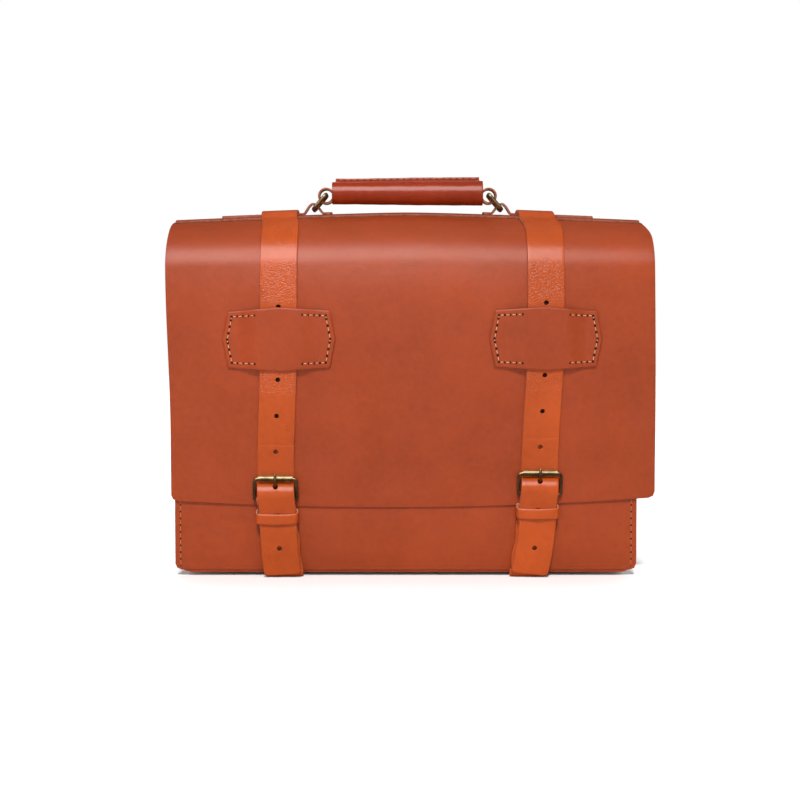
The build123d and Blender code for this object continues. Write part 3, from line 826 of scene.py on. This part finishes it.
# the gusset: one channel down the left, along the base and up the right
GUSSET_RECESS = 0.009
GUSSET_FOLD = 0.010
GUSSET_FOLD_STEP = (0.03, 0.2)
GUSSET_BEND = 0.014
GUSSET_PATH = rounded(
    [
        (-PANEL_HALF, GUSSET_TOP),
        (-PANEL_HALF, CASE_BOTTOM),
        (PANEL_HALF, CASE_BOTTOM),
        (PANEL_HALF, GUSSET_TOP),
    ],
    GUSSET_BEND,
)
FLANGE_FRONT = FRONT_Y + LEATHER + GUSSET_LEATHER / 2
FLANGE_BACK = BACK_Y - LEATHER - GUSSET_LEATHER / 2
GUSSET_SECTION = rounded(
    [
        (FLANGE_FRONT, 0),
        (FLANGE_FRONT, GUSSET_RECESS),
        (FLANGE_BACK, GUSSET_RECESS),
        (FLANGE_BACK, 0),
    ],
    0.003,
)


def on_gusset(u, v, w):
    """u runs along the channel's path and v across its section."""
    y, inward = GUSSET_SECTION.at(v, w)
    share = np.clip((y - FLANGE_FRONT) / (FLANGE_BACK - FLANGE_FRONT), 0, 1)
    high = GUSSET_PATH.at(u, 0)[1]
    creased = np.minimum(share, 1 - share) * 2
    fold = GUSSET_FOLD * smooth(creased) * step(high, *GUSSET_FOLD_STEP)
    x, z = GUSSET_PATH.at(u, -inward - fold)
    return x + BODY_SHIFT, y + wall_lean(z) * (1 - share), z


BEND_RUN = 0.024
bend_left = GUSSET_PATH.where(0, -PANEL_HALF + GUSSET_BEND, 0.2)
bend_right = GUSSET_PATH.where(0, PANEL_HALF - GUSSET_BEND, 0.4)
gusset = leather(
    "gusset_leather",
    chain(
        (0, bend_left - BEND_RUN, 0.006),
        (bend_left - BEND_RUN, bend_left, 0.0015),
        (bend_left, bend_right, 0.006),
        (bend_right, bend_right + BEND_RUN, 0.0015),
        (bend_right + BEND_RUN, GUSSET_PATH.length, 0.006),
    ),
    chain(
        (0, 0.014, 0.001),
        (0.014, GUSSET_SECTION.length - 0.014, 0.005),
        (GUSSET_SECTION.length - 0.014, GUSSET_SECTION.length, 0.001),
    ),
    on_gusset,
    GUSSET_LEATHER,
    GUSSET_SET,
)
riding(gusset, "case", "gusset_leather", "gusset_left", "gusset_right", "gusset_base")

SEAM_HIGH = PANEL_HIGH[2] - SEAM_LOW
seam_ends = [COVER.where(1, z) - HANDLE_V for z in (SEAM_LOW, SEAM_HIGH)]
for name, node, place, (v0, v1) in (
    ("front_seam_thread", "seam_front", on_front_panel, (SEAM_LOW, SEAM_HIGH)),
    ("back_seam_thread", "seam_back", on_cover, seam_ends),
):
    rows = [row_on(place, (x, v0), (x, v1), LEATHER / 2) for x in (-SEAM_X, SEAM_X)]
    seam(name, "case", node, rows, DARK_THREAD)

# ---------------------------------------------------------------- top strip and handle bases
STRIP_W = (LEATHER + STRIP) / 2
PLATE_W = LEATHER / 2 + STRIP + PLATE / 2
STRIP_HALF = STRIP_HIGH[0]
STRIP_HALF_WIDTH = (STRIP_HIGH[1] - STRIP_LOW[1]) / 2
LOOP_HALF = (LOOP_HIGH[1] - LOOP_LOW[1]) / 2
# the arch: its feet beyond the plate's inner end, and its points there above the plate's apex
ARCH_FEET = (0.008, 0.0235)
ARCH_SHAPE = ((0.0125, -0.0005), (0.0165, 0.0022), (0.0195, -0.0005))
ARCH_WAIST = 0.006
BASE_INSET = 0.003
# stitches at the plate's outer end, from that end, and beyond the arch, from its outer foot
BASE_STITCHES, ARCH_STITCHES = (0.032, 0.004), (0.009, 0.0145)

top_strip = leather(
    "top_strip_leather",
    lines(-STRIP_HALF, STRIP_HALF),
    lines(-STRIP_HALF_WIDTH, STRIP_HALF_WIDTH, FINE_CELL),
    lambda u, v, w: on_cover(u, v, w + STRIP_W),
    STRIP,
    TOP_SET,
    warp=round_corners(STRIP_HALF, -STRIP_HALF_WIDTH, STRIP_HALF_WIDTH, 0.004, True),
)
riding(top_strip, "flap_top", "body_leather", "top_strip")


def handle_base(side):
    """The plate on the top strip with its arch for a ring; returns its rows of stitches."""
    low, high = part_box(f"handle_base_{side}")
    inner, outer = sorted((abs(low[0]), abs(high[0])))
    half = (high[1] - low[1]) / 2
    flat_z, apex_z = TOP_MID_Z + PLATE_W, high[2] - PLATE / 2
    path = rounded(
        [(inner, flat_z), (inner + ARCH_FEET[0], flat_z)]
        + [(inner + x, apex_z + z) for x, z in ARCH_SHAPE]
        + [(inner + ARCH_FEET[1], flat_z), (outer, flat_z)],
        0.0025,
    )
    foot = path.where(0, inner + ARCH_FEET[0])
    far_foot = path.where(0, inner + ARCH_FEET[1], 0.02)

    def place(u, v, w):
        """u is across the plate and v along it from its inner end."""
        x, z = path.at(v, -w)
        return settle(SIGN[side] * x, HANDLE_Y + u, z - slump(HANDLE_Y + u))

    def narrow(u, v):
        u, v = round_corners(half, 0, path.length, 0.003, True)(u, v)
        arch = smooth((v - foot + 0.005) / ARCH_WAIST) * smooth((far_foot + 0.007 - v) / ARCH_WAIST)
        return u * (1 - arch * (1 - LOOP_HALF / half)), v

    base = leather(
        f"handle_base_{side}_leather",
        lines(-half, half, 0.002),
        lines(0, path.length, 0.001),
        place,
        PLATE,
        TOP_SET,
        warp=narrow,
    )
    riding(base, "flap_top", "body_leather", f"handle_base_{side}")
    runs = [[path.length - v for v in BASE_STITCHES], [far_foot + v for v in ARCH_STITCHES]]
    across = (BASE_INSET - half, half - BASE_INSET)
    return [row_on(place, (u, a), (u, b), PLATE / 2) for u in across for a, b in runs]


base_rows = [row for side in SIDES for row in handle_base(side)]
seam("base_seam_thread", "flap_top", "seam_handle_bases", base_rows, DARK_THREAD)

# ---------------------------------------------------------------- straps
STRAP_AT = {side: middle(f"strap_front_{side}")[0] for side in SIDES}
ROLLER_Z = {side: middle(f"buckle_roller_{side}")[2] for side in SIDES}
BAR_Z = {side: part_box(f"buckle_frame_{side}")[0][2] + 0.0014 for side in SIDES}
BAR_Y = FRONT_Y - 0.0067
STRAP_W = (LEATHER + STRAP) / 2
STRAP_RISE = STRIP + PLATE + 0.0001
RISE_HEAD, RISE_FOOT = 0.013, 0.022
STRAP_CELL = 0.003
# the straps wander sideways down the flap, and their ends lean towards the middle
DRIFT = {"left": 0.0031, "right": 0.0043}
DRIFT_DOWN = (0.09, 0.11)
DRIFT_OVER = (0.01 - HANDLE_Y, 0.035)
TAIL_LEAN = {"left": 0.0020, "right": -0.0020}
TAIL_DRIFT = {"left": 0.0037, "right": -0.0068}
CHAPE_LEAN = {"left": 0.0072, "right": -0.0092}
# the back run, from its front end under the base
RUN_END_Z = STRAP_LOW[2] + 0.0064
UNDER_Z = STRAP_LOW[2] + STRAP / 2
RUN_Y = STRAP_LOW[1] + STRAP / 2
RUN_TOP = 0.1
STRAP_BACK_Y = BACK_MID_Y + STRAP_W
# holes, measured up from the roller
FIRST_HOLE = {"left": 0.0243, "right": 0.0228}
HOLE_PITCH = 0.0295
ENGAGED = -0.0066
ENGAGED_CELL, ENGAGED_HOLE = 0.0022, (0.0019, 0.0024)
LAST_HOLE_Z = 0.0235
# the tail
TAIL_START = 0.030
TAIL_HOLD = (0.004, 0.024)
TAIL_FREE = 0.05
TAIL_CURVE = 1.7
TAIL_BOWL = 0.0006
TIP_TURN = 0.45


def strap_slant(side, y, z):
    """The strap wanders sideways as it goes down the flap."""
    return DRIFT[side] * step(z, *DRIFT_DOWN) * step(-y, *DRIFT_OVER)


def on_strap(side, u, v, w):
    """The strap over the cover, v from the handle's line, lifted over the handle's base."""
    y, z = COVER.at(v + HANDLE_V, w + STRAP_W)
    raised = STRAP_RISE * (1 - step(np.abs(v), RISE_HEAD, RISE_FOOT - RISE_HEAD))
    x = unsettled_x(u + strap_slant(side, y, z), y, z)
    return settle(x, y, z + raised)


def strap_lines(side, at=(), half=STRAP_HALF):
    """Grid lines across a strap."""
    return STRAP_AT[side] + lines(-half, half, STRAP_CELL, at=at)


def back_run(side):
    """The strap's back run: under the base, up the back and over to the handle's line."""
    run = rounded(
        [(RUN_Y, RUN_END_Z), (RUN_Y, UNDER_Z), (STRAP_BACK_Y, UNDER_Z), (STRAP_BACK_Y, RUN_TOP)],
        0.0036,
    )
    cover_from = COVER.where(1, RUN_TOP) - HANDLE_V
    length = run.length - cover_from

    def place(u, v, w):
        """v is measured from the front end, under the base, then up the back and over."""
        y0, z0 = run.at(np.minimum(v, run.length), w)
        x0 = u + CHAPE_LEAN[side] * np.clip((BACK_Y - y0) / (BACK_Y - FRONT_Y), 0, 1)
        x1, y1, z1 = on_strap(side, u, cover_from + (v - run.length), w)
        pairs = ((x0, x1 - back_shift(y1, z1)), (y0, y1), (z0, z1))
        return [np.where(v < run.length, low, high) for low, high in pairs]

    strap = leather(
        f"strap_back_{side}_leather",
        strap_lines(side),
        chain(
            (0, 0.02, 0.0012),
            (0.02, 0.1),
            (0.1, 0.13, 0.0012),
            (0.13, length - 0.07),
            (length - 0.07, length, 0.0018),
        ),
        place,
        STRAP,
        STRAP_SET,
        butt=(1,),
    )
    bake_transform(strap)
    stands_for(strap, "strap_leather", f"strap_back_{side}", f"strap_top_{side}")


def front_run(side):
    """The strap's front run: from the handle's line to the top of the tail."""
    centre = STRAP_AT[side]
    length = END_V - (ROLLER_Z[side] + TAIL_START - FLAP_BOTTOM)
    heights = [ROLLER_Z[side] + FIRST_HOLE[side] + k * HOLE_PITCH for k in range(1, 5)]
    places = [END_V - (z - FLAP_BOTTOM) for z in heights]
    strap = leather(
        f"strap_front_{side}_leather",
        strap_lines(side, at=hole_lines([0])),
        chain((0, 0.075, 0.0018), (0.075, length, 0.004, hole_lines(places))),
        lambda u, v, w: on_strap(side, u, v, w),
        STRAP,
        STRAP_SET,
        holes=[(centre, v, HOLE, HOLE) for v in places],
        butt=(0, 1),
        blind=True,
    )
    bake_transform(strap)
    stands_for(strap, "strap_leather", f"strap_front_{side}")


def tail(side):
    """The tail: behind the roller, over the bar, through the keeper, down to the base."""
    centre, roller_z, bar_z = STRAP_AT[side], ROLLER_Z[side], BAR_Z[side]
    strap_y = FLAP_Y - STRAP_W
    line = rounded(
        [
            (strap_y, roller_z + TAIL_START),
            (strap_y, roller_z - 0.0022),
            (FRONT_Y - 0.0115, roller_z - 0.0070),
            (FRONT_Y - 0.0132, roller_z - 0.0125),
            (FRONT_Y - 0.0118, bar_z - 0.001),
            (FRONT_Y - 0.0093, bar_z - 0.010),
            (FRONT_Y - 0.0090, bar_z - 0.02),
            (FRONT_Y - 0.0084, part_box(f"strap_tail_{side}")[0][2]),
        ],
        0.010,
    )

    def place(u, v, w):
        """v is measured down the tail, which slants in towards its tip."""
        y, z = line.at(v, w)
        free = np.clip((TAIL_FREE - z) / TAIL_FREE, 0, 1)
        x = u + TAIL_LEAN[side] * smooth((roller_z - z) / 0.035)
        x = x + TAIL_DRIFT[side] * free**TAIL_CURVE
        turned = abs(TAIL_DRIFT[side]) * TAIL_CURVE * free ** (TAIL_CURVE - 1) / TAIL_FREE
        z = z + TIP_TURN * turned * (STRAP_HALF - SIGN[side] * (u - centre))
        bowl = TAIL_BOWL * ((u - centre) / STRAP_HALF) ** 2 * smooth(free * 2)
        x1, y1, z1 = settle(unsettled_x(u + strap_slant(side, y, z), y, z), y, z)
        hold = step(z - roller_z, *TAIL_HOLD)
        return x + (x1 - x) * hold, y + (y1 - y) * hold + bowl, z + (z1 - z) * hold

    def rounded_tip(u, v):
        u, v = round_corners(STRAP_HALF, 0, line.length, 0.003)(u - centre, v)
        return u + centre, v

    heights = [roller_z + FIRST_HOLE[side], middle(f"keeper_{side}")[2] + 0.001, LAST_HOLE_Z]
    places = [line.where(1, z) for z in heights]
    engaged = line.where(1, roller_z + ENGAGED)
    piece = leather(
        f"strap_tail_{side}_leather",
        strap_lines(side, at=hole_lines([0])),
        lines(0, line.length, 0.0022, hole_lines(places) + hole_lines([engaged], ENGAGED_CELL)),
        place,
        STRAP,
        STRAP_SET,
        holes=[(centre, v, HOLE, HOLE) for v in places] + [(centre, engaged, *ENGAGED_HOLE)],
        warp=rounded_tip,
        butt=(0,),
    )
    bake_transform(piece)
    stands_for(piece, "strap_leather", f"strap_tail_{side}")


# the chape is the short strap that holds the buckle
BAR_REACH = 0.0015 + CHAPE / 2
SLOT_HALF, SLOT_LAP = 0.0019, 0.005
CHAPE_HALF = STRAP_HALF + 0.0003
CHAPE_WAVE, CHAPE_WAVES = 0.0006, 260
LAP_STITCHES = 0.011


def chape(side):
    """The chape: from under the base, round the buckle's bar and back on itself."""
    centre, bar_z = STRAP_AT[side], BAR_Z[side]
    back_y, front_y = BAR_Y + BAR_REACH, BAR_Y - BAR_REACH
    lap_y = back_y - CHAPE - 0.0001
    rise = rounded(
        [(RUN_Y, RUN_END_Z), (RUN_Y, 0.012), (back_y, 0.02), (back_y, bar_z - 0.001)], 0.004
    )
    turn = arc((BAR_Y, bar_z), (BAR_REACH, BAR_REACH), 0, math.pi, 25)
    lap = rounded(
        [
            (front_y, bar_z - 0.001),
            (front_y, bar_z - 0.003),
            (lap_y, bar_z - 0.009),
            (lap_y, bar_z - 0.023),
        ],
        0.003,
    )
    line = Line2(np.concatenate((rise.points, turn, lap.points)))
    slot_from, slot_to = rise.length - SLOT_LAP, line.length - lap.length + SLOT_LAP

    def place(u, v, w):
        """v is measured up the back of the chape, round the bar and down its lap."""
        y, z = line.at(v, -w)
        lean = CHAPE_LEAN[side] * np.clip(1 - z / bar_z, 0, 1)
        return u + lean + CHAPE_WAVE * np.sin(z * CHAPE_WAVES) * (z < bar_z), y, z

    piece = leather(
        f"chape_{side}_leather",
        strap_lines(side, at=[-SLOT_HALF, SLOT_HALF], half=CHAPE_HALF),
        lines(0, line.length, 0.0015, at=[slot_from, slot_to]),
        place,
        CHAPE,
        CHAPE_SET,
        gaps=[(centre - SLOT_HALF, centre + SLOT_HALF, slot_from, slot_to)],
    )
    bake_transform(piece)
    stands_for(piece, "strap_leather", f"chape_{side}")
    v = line.length - 0.002
    row = row_on(place, (centre - LAP_STITCHES, v), (centre + LAP_STITCHES, v), CHAPE / 2)
    seam(f"chape_seam_{side}_thread", f"chape_{side}", f"seam_chape_{side}", [row], THREAD)


KEEPER_SHIFT = {"left": 0.0011, "right": -0.0019}
KEEPER_TILT = 0.4
KEEPER_TALL = 0.0082
KEEPER_BOW = (0.0005, 0.0006)


def keeper(side):
    """The keeper: a loop round the chape and the tail."""
    low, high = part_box(f"keeper_{side}")
    half = (high[0] - low[0]) / 2 - KEEPER / 2
    back_y, front_y = high[1] - KEEPER / 2, low[1] + KEEPER / 2
    loop = rounded(
        [
            (0.0, back_y),
            (half, back_y),
            (half, front_y + KEEPER_BOW[0]),
            (0.0, front_y - KEEPER_BOW[1]),
            (-half, front_y + KEEPER_BOW[0]),
            (-half, back_y),
            (0.0, back_y),
        ],
        0.003,
    )

    def place(u, v, w):
        """u is measured round the loop and v up it."""
        x, y = loop.at(u, -w)
        z = v + high[2] - KEEPER_TALL - KEEPER_TILT * (back_y - y - 0.004)
        return x + STRAP_AT[side] + KEEPER_SHIFT[side], y, z

    piece = leather(
        f"keeper_{side}_leather",
        lines(0, loop.length, 0.0012),
        lines(0, KEEPER_TALL, 0.0015),
        place,
        KEEPER,
        STRAP_SET,
        turned=0.0005,
    )
    riding(piece, f"chape_{side}", "strap_leather", f"keeper_{side}")


for side in SIDES:
    for make in (back_run, front_run, tail, chape, keeper):
        make(side)

# ---------------------------------------------------------------- guide plates
GUIDE_CENTRE = {"left": -0.1047, "right": 0.1122}
GUIDE_Z = 0.197
GUIDE_SIDE, GUIDE_POINT, GUIDE_PEAK, GUIDE_SLANT = 0.0415, 0.0045, 0.026, 0.003
# half the width over which a plate lies on the strap, and at which it is down on the flap
GUIDE_HEAD, GUIDE_FOOT = 0.0160, 0.034
GUIDE_V = END_V - (GUIDE_Z - FLAP_BOTTOM)
# the stitch row's corner: how far it is in from the plate's, and the row's reach from there
GUIDE_INSET = (0.0033, 0.0042)
GUIDE_REACH, GUIDE_LIFT, POINT_INSET = 0.0192, 0.0008, 0.0008
GUIDE_COUNTS = (4, 3.5, 3.5, 4)


def bow_tie(s, t):
    """From the unit square to the plate: pointed ends, and peaks at the middle of long sides."""
    x = s * (GUIDE_SIDE + GUIDE_POINT * (1 - np.abs(t)))
    return x, t * (GUIDE_PEAK - GUIDE_SLANT * np.abs(s))


def guide_row(end):
    """The flat places of the stitches at one end of a plate: in, round the point and out again."""
    side_x = GUIDE_SIDE - GUIDE_INSET[0]
    high = GUIDE_PEAK - GUIDE_SLANT - GUIDE_INSET[1]
    upper = [(side_x - GUIDE_REACH, high + GUIDE_LIFT), (side_x, high)]
    point = (side_x + GUIDE_POINT - POINT_INSET, 0)
    corners = [*upper, point, *[(x, -y) for x, y in reversed(upper)]]
    row = []
    for (a, b), (c, d), count in zip(corners, corners[1:], GUIDE_COUNTS):
        shares = np.arange(count) / count
        row += [(end * (a + (c - a) * t), b + (d - b) * t) for t in shares]
    return [*row, (end * corners[-1][0], corners[-1][1])]


def guide_plate(side):
    """A plate sewn to the flap at both ends, with the strap under its middle."""
    centre = GUIDE_CENTRE[side]
    strap_at = STRAP_AT[side] + DRIFT[side] * 0.9

    def place(u, v, w):
        """The plate lies on the flap at both ends and rises over the strap between them."""
        off = np.abs(u + centre - strap_at)
        over = 1 - step(off, GUIDE_HEAD, GUIDE_FOOT - GUIDE_HEAD)
        base = (LEATHER + GUIDE) / 2 + (STRAP + 0.0002) * over
        y, z = COVER.at(v + GUIDE_V + HANDLE_V, w + base)
        return settle(unsettled_x(u + centre, y, z), y, z)

    piece = leather(
        f"guide_plate_{side}_leather",
        lines(-1, 1, 0.04),
        lines(-1, 1, 0.08),
        place,
        GUIDE,
        BODY_SET,
        warp=bow_tie,
        turned=0.0006,
    )
    riding(piece, "flap_front", "body_leather", f"guide_plate_{side}")
    rows = [[on_surface(place, u, v, GUIDE / 2) for u, v in guide_row(end)] for end in (-1, 1)]
    name, node = f"guide_seam_{side}_thread", f"seam_guide_{side}"
    seam(name, "flap_front", node, rows, THREAD, thread=0.00024, hole=0.0011, shown=0.56)


for side in SIDES:
    guide_plate(side)

# ---------------------------------------------------------------- handle
GRIP_RADIUS = (GRIP_HIGH[1] - GRIP_LOW[1]) / 2
GRIP_MID = GRIP_RADIUS - GRIP_WALL / 2
GRIP_HALF = GRIP_HIGH[0]
GRIP_TAPER, GRIP_WAVE = 0.06, 0.008
RIDGE_HALF = 0.061
RIDGE_TOP = GRIP_HIGH[2] - HANDLE_Z
RIDGE_GAP = 0.0007
RIDGE_STEP = (0.0025, 0.003)
RIDGE_SEAM = 0.0012
first = math.acos(RIDGE_GAP / GRIP_MID)
GRIP_LINE = rounded(
    [(-RIDGE_GAP, RIDGE_TOP), (-RIDGE_GAP, GRIP_MID)]
    + arc((0, 0), (GRIP_MID, GRIP_MID), math.pi - first, 2 * math.pi + first, 73)
    + [(RIDGE_GAP, GRIP_MID), (RIDGE_GAP, RIDGE_TOP)],
    0.0016,
    spacing=0.0003,
)


def grip_girth(x):
    """The roll is a little thicker to the right and waves slightly."""
    return 1 + GRIP_TAPER * x / GRIP_HALF + GRIP_WAVE * np.sin(x * 70 + 1.0)


def on_grip(u, v, w):
    """u runs round the roll from the ridge and v along it."""
    y, z = GRIP_LINE.at(u, w)
    girth = grip_girth(v)
    lumps = 0.00006 * np.sin(v * 190 + u * 300) + 0.00005 * np.sin(v * 410 - u * 170)
    return v, HANDLE_Y + y * girth, HANDLE_Z + z * girth + lumps


def grip_ends(u, v):
    """The ridge is cut back from the roll's ends."""
    near_edge = np.minimum(u, GRIP_LINE.length - u)
    return u, v * (1 - (1 - RIDGE_HALF / GRIP_HALF) * (1 - step(near_edge, *RIDGE_STEP)))


grip = leather(
    "grip_roll_leather",
    lines(0, GRIP_LINE.length, 0.0011),
    lines(-GRIP_HALF, GRIP_HALF, FINE_CELL),
    on_grip,
    GRIP_WALL,
    GRIP_SET,
    warp=grip_ends,
)
riding(grip, "handle", "handle_leather", "handle_grip")

row_half = RIDGE_HALF - 0.002
ridge_rows = [
    row_on(on_grip, (u, -row_half), (u, row_half), GRIP_WALL / 2)
    for u in (RIDGE_SEAM, GRIP_LINE.length - RIDGE_SEAM)
]
seam("handle_seam_thread", "handle", "seam_handle", ridge_rows, DARK_THREAD, hole=0.0005)

# the filling shows a little at the roll's open ends
CORE_HALF = GRIP_HALF - 0.0035
CORE_RADIUS = GRIP_RADIUS - GRIP_WALL - 0.0001
CORE_SIDES = 32
core_tip = CORE_HALF + 0.001
core_end = [(CORE_HALF, CORE_RADIUS), (core_tip, CORE_RADIUS * 0.6), (core_tip, 0)]
profile = [(-x, radius) for x, radius in reversed(core_end)]
profile += [(x, CORE_RADIUS) for x in np.linspace(-CORE_HALF + 0.004, CORE_HALF - 0.004, 15)]
profile += core_end
core_points = []
for x, radius in profile:
    reach = max(radius, 1e-5) * grip_girth(x)
    centre, across, up = np.array(((x, HANDLE_Y, HANDLE_Z), (0, reach, 0), (0, 0, reach)))
    core_points += circle(centre, across, up, CORE_SIDES)
core_faces = skin(0, len(profile), CORE_SIDES)
core = new_mesh("handle_filling", core_points, core_faces, [0] * len(core_faces), [FILLING])
riding(core, "handle", "filling", "handle_core")

# the handle's strap ends in two loops round the rings
RING_X, RING_Z = 0.069, 0.3172
LOOP_RADIUS = 0.0061
LOOP_DROP = 0.0008
LOOP_OPEN = math.radians(140)
LOOP_ENDS = ((0.054, 0.001), (0.062, 0.0015))


def end_loop(side):
    """One loop of the handle's strap, from inside the roll round the ring and back."""
    ends = [(x, RING_Z + z) for x, z in LOOP_ENDS]
    ends_below = [(x, RING_Z - z) for x, z in reversed(LOOP_ENDS)]
    centre = (RING_X, RING_Z - LOOP_DROP)
    turn = arc(centre, (LOOP_RADIUS, LOOP_RADIUS), LOOP_OPEN, -LOOP_OPEN, 41)
    path = rounded(ends + turn + ends_below, 0.0012)

    def place(u, v, w):
        """u is across the strap and v along it."""
        x, z = path.at(v, w)
        return SIGN[side] * x, HANDLE_Y + u, z

    piece = leather(
        f"handle_loop_{side}_leather",
        lines(-LOOP_HALF, LOOP_HALF, 0.002),
        lines(0, path.length, 0.001),
        place,
        LOOP_LEATHER,
        GRIP_SET,
    )
    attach(piece, "handle")
    return piece


loops = [end_loop(side) for side in SIDES]
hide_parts("handle_strap")

# ---------------------------------------------------------------- brass
WIRE_SIDES = 14
WIRE_CAP = [(math.cos(a), math.sin(a)) for a in np.radians((10, 35, 62))]


def wire(name, points, radii, finish):
    """A round wire along points in one YZ plane, with a rounded end at each side."""
    points = np.array(points, float)
    heading = np.gradient(points, axis=0)
    heading /= np.linalg.norm(heading, axis=1)[:, None]
    across = np.array((1.0, 0, 0))
    rings = []

    def ring(centre, along, radius):
        other = np.cross(along, across)
        rings.append(circle(centre, radius * across, radius * other, WIRE_SIDES))

    for share, reach in WIRE_CAP:
        ring(points[0] - heading[0] * radii[0] * share, heading[0], radii[0] * reach)
    for place, along, radius in zip(points, heading, radii):
        ring(place, along, radius)
    for share, reach in reversed(WIRE_CAP):
        ring(points[-1] + heading[-1] * radii[-1] * share, heading[-1], radii[-1] * reach)
    faces = skin(0, len(rings), WIRE_SIDES)
    verts = [point for made in rings for point in made]
    return new_mesh(name, verts, faces, [0] * len(faces), [finish])


EYE = 0.0025
EYE_TURN = 4.1
EYE_WIRE, SHANK_WIRE = 0.00105, (0.0013, 0.0011)
PRONG_KNEE = (-0.0136, -0.0015)
PRONG_TIP = (-0.0130, 0.0034)


def prong(side):
    """The prong: an eye round the buckle's bar and a shank over the roller."""
    centre, roller_z, bar_z = middle(f"buckle_prong_{side}")[0], ROLLER_Z[side], BAR_Z[side]
    knee, tip = ((FRONT_Y + y, roller_z + z) for y, z in (PRONG_KNEE, PRONG_TIP))
    leave = math.atan2(BAR_Y - knee[0], knee[1] - bar_z)
    eye = arc((BAR_Y, bar_z), (EYE, EYE), leave - EYE_TURN, leave, 25)
    shank = rounded([eye[-1], knee, tip], 0.0035).points
    line = [*eye[:-1], *shank[:-1:2], shank[-1]]
    radii = [EYE_WIRE] * (len(eye) - 1)
    radii += list(np.linspace(*SHANK_WIRE, len(line) - len(radii)))
    piece = wire(f"prong_{side}_wire", [(centre, y, z) for y, z in line], radii, BRASS)
    riding(piece, f"prong_{side}", "antique_brass", f"buckle_prong_{side}")


for side in SIDES:
    prong(side)

# the rings, buckle frames and rollers are the CAD's own meshes
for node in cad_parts.values():
    if node.hide_render:
        continue
    node.data.materials.clear()
    node.data.materials.append(BRASS)
    for polygon in node.data.polygons:
        polygon.use_smooth = True
    shade_evenly(node)

# ---------------------------------------------------------------- studio
ROOM_LIGHT = 0.3
ROOM_SHINE = 0.08
pale = Shader("pale_floor")
pale.fix("Base Color", (0.95, 0.95, 0.95, 1))
pale.fix("Roughness", 0.9)
bpy.ops.mesh.primitive_plane_add(size=12)
floor = bpy.context.object
floor.name = "floor"
floor.data.materials.append(pale.material)
floor.visible_glossy = False

# white to the camera, and a dimmer room to the light that falls on the case
scene = bpy.context.scene
scene.world = bpy.data.worlds.new("studio")
scene.world.use_nodes = True
world_nodes, world_links = scene.world.node_tree.nodes, scene.world.node_tree.links
shown = world_nodes["Background"]
shown.inputs["Color"].default_value = (1, 1, 1, 1)
seen = world_nodes.new("ShaderNodeLightPath")
for strength, rays in ((ROOM_LIGHT, "Is Diffuse Ray"), (ROOM_SHINE, "Is Glossy Ray")):
    room = world_nodes.new("ShaderNodeBackground")
    room.inputs["Color"].default_value = (1, 0.99, 0.98, 1)
    room.inputs["Strength"].default_value = strength
    either = world_nodes.new("ShaderNodeMixShader")
    world_links.new(seen.outputs[rays], either.inputs["Fac"])
    world_links.new(shown.outputs[0], either.inputs[1])
    world_links.new(room.outputs["Background"], either.inputs[2])
    shown = either
world_links.new(shown.outputs[0], world_nodes["World Output"].inputs["Surface"])


def aimed(name, data, place, aim):
    """A lamp or a camera in the scene, turned towards an aim."""
    obj = bpy.data.objects.new(name, data)
    obj.location = place
    obj.rotation_euler = (Vector(aim) - Vector(place)).to_track_quat("-Z", "Y").to_euler()
    scene.collection.objects.link(obj)
    return obj


def light(name, kind, place, aim, energy, shine=False, fill=True, **sizes):
    """A lamp at a place; shine and fill say which of its light reaches the case."""
    lamp = bpy.data.lights.new(name, kind)
    lamp.energy = energy
    for key, value in sizes.items():
        setattr(lamp, key, value)
    obj = aimed(name, lamp, place, aim)
    obj.visible_glossy = shine
    obj.visible_diffuse = fill


def box_light(name, place, aim, energy, size, **rays):
    shape = {"shape": "RECTANGLE", "size": size[0], "size_y": size[1]}
    light(name, "AREA", place, aim, energy, **shape, **rays)


ORIGIN = (0, 0, 0)
SHINE = {"shine": True, "fill": False}
box_light("key_shine", (-0.25, -1.13, 1.41), (0, 0, 0.27), 29, (1.5, 1.2), **SHINE)
light("key", "SUN", (-0.05, -1.4, 1.45), ORIGIN, 3.2, angle=math.radians(9))
light("behind", "SUN", (0.1, 0.8, 1.8), ORIGIN, 1.4, angle=math.radians(45))
box_light("low_fill", (0, -1.7, 0.22), (0, 0, 0.08), 10, (1.6, 0.4))
scene.view_settings.view_transform = "Standard"

LENS = 66.0
SENSOR = 36.0
DISTANCE = 1.203
ELEVATION = math.radians(2.5)
AIM = Vector((-0.0063, FRONT_Y, 0.1451))
camera_data = bpy.data.cameras.new("camera")
camera_data.lens = LENS
camera_data.sensor_width = SENSOR
camera_at = AIM + DISTANCE * Vector((0, -math.cos(ELEVATION), math.sin(ELEVATION)))
scene.camera = aimed("camera", camera_data, camera_at, AIM)
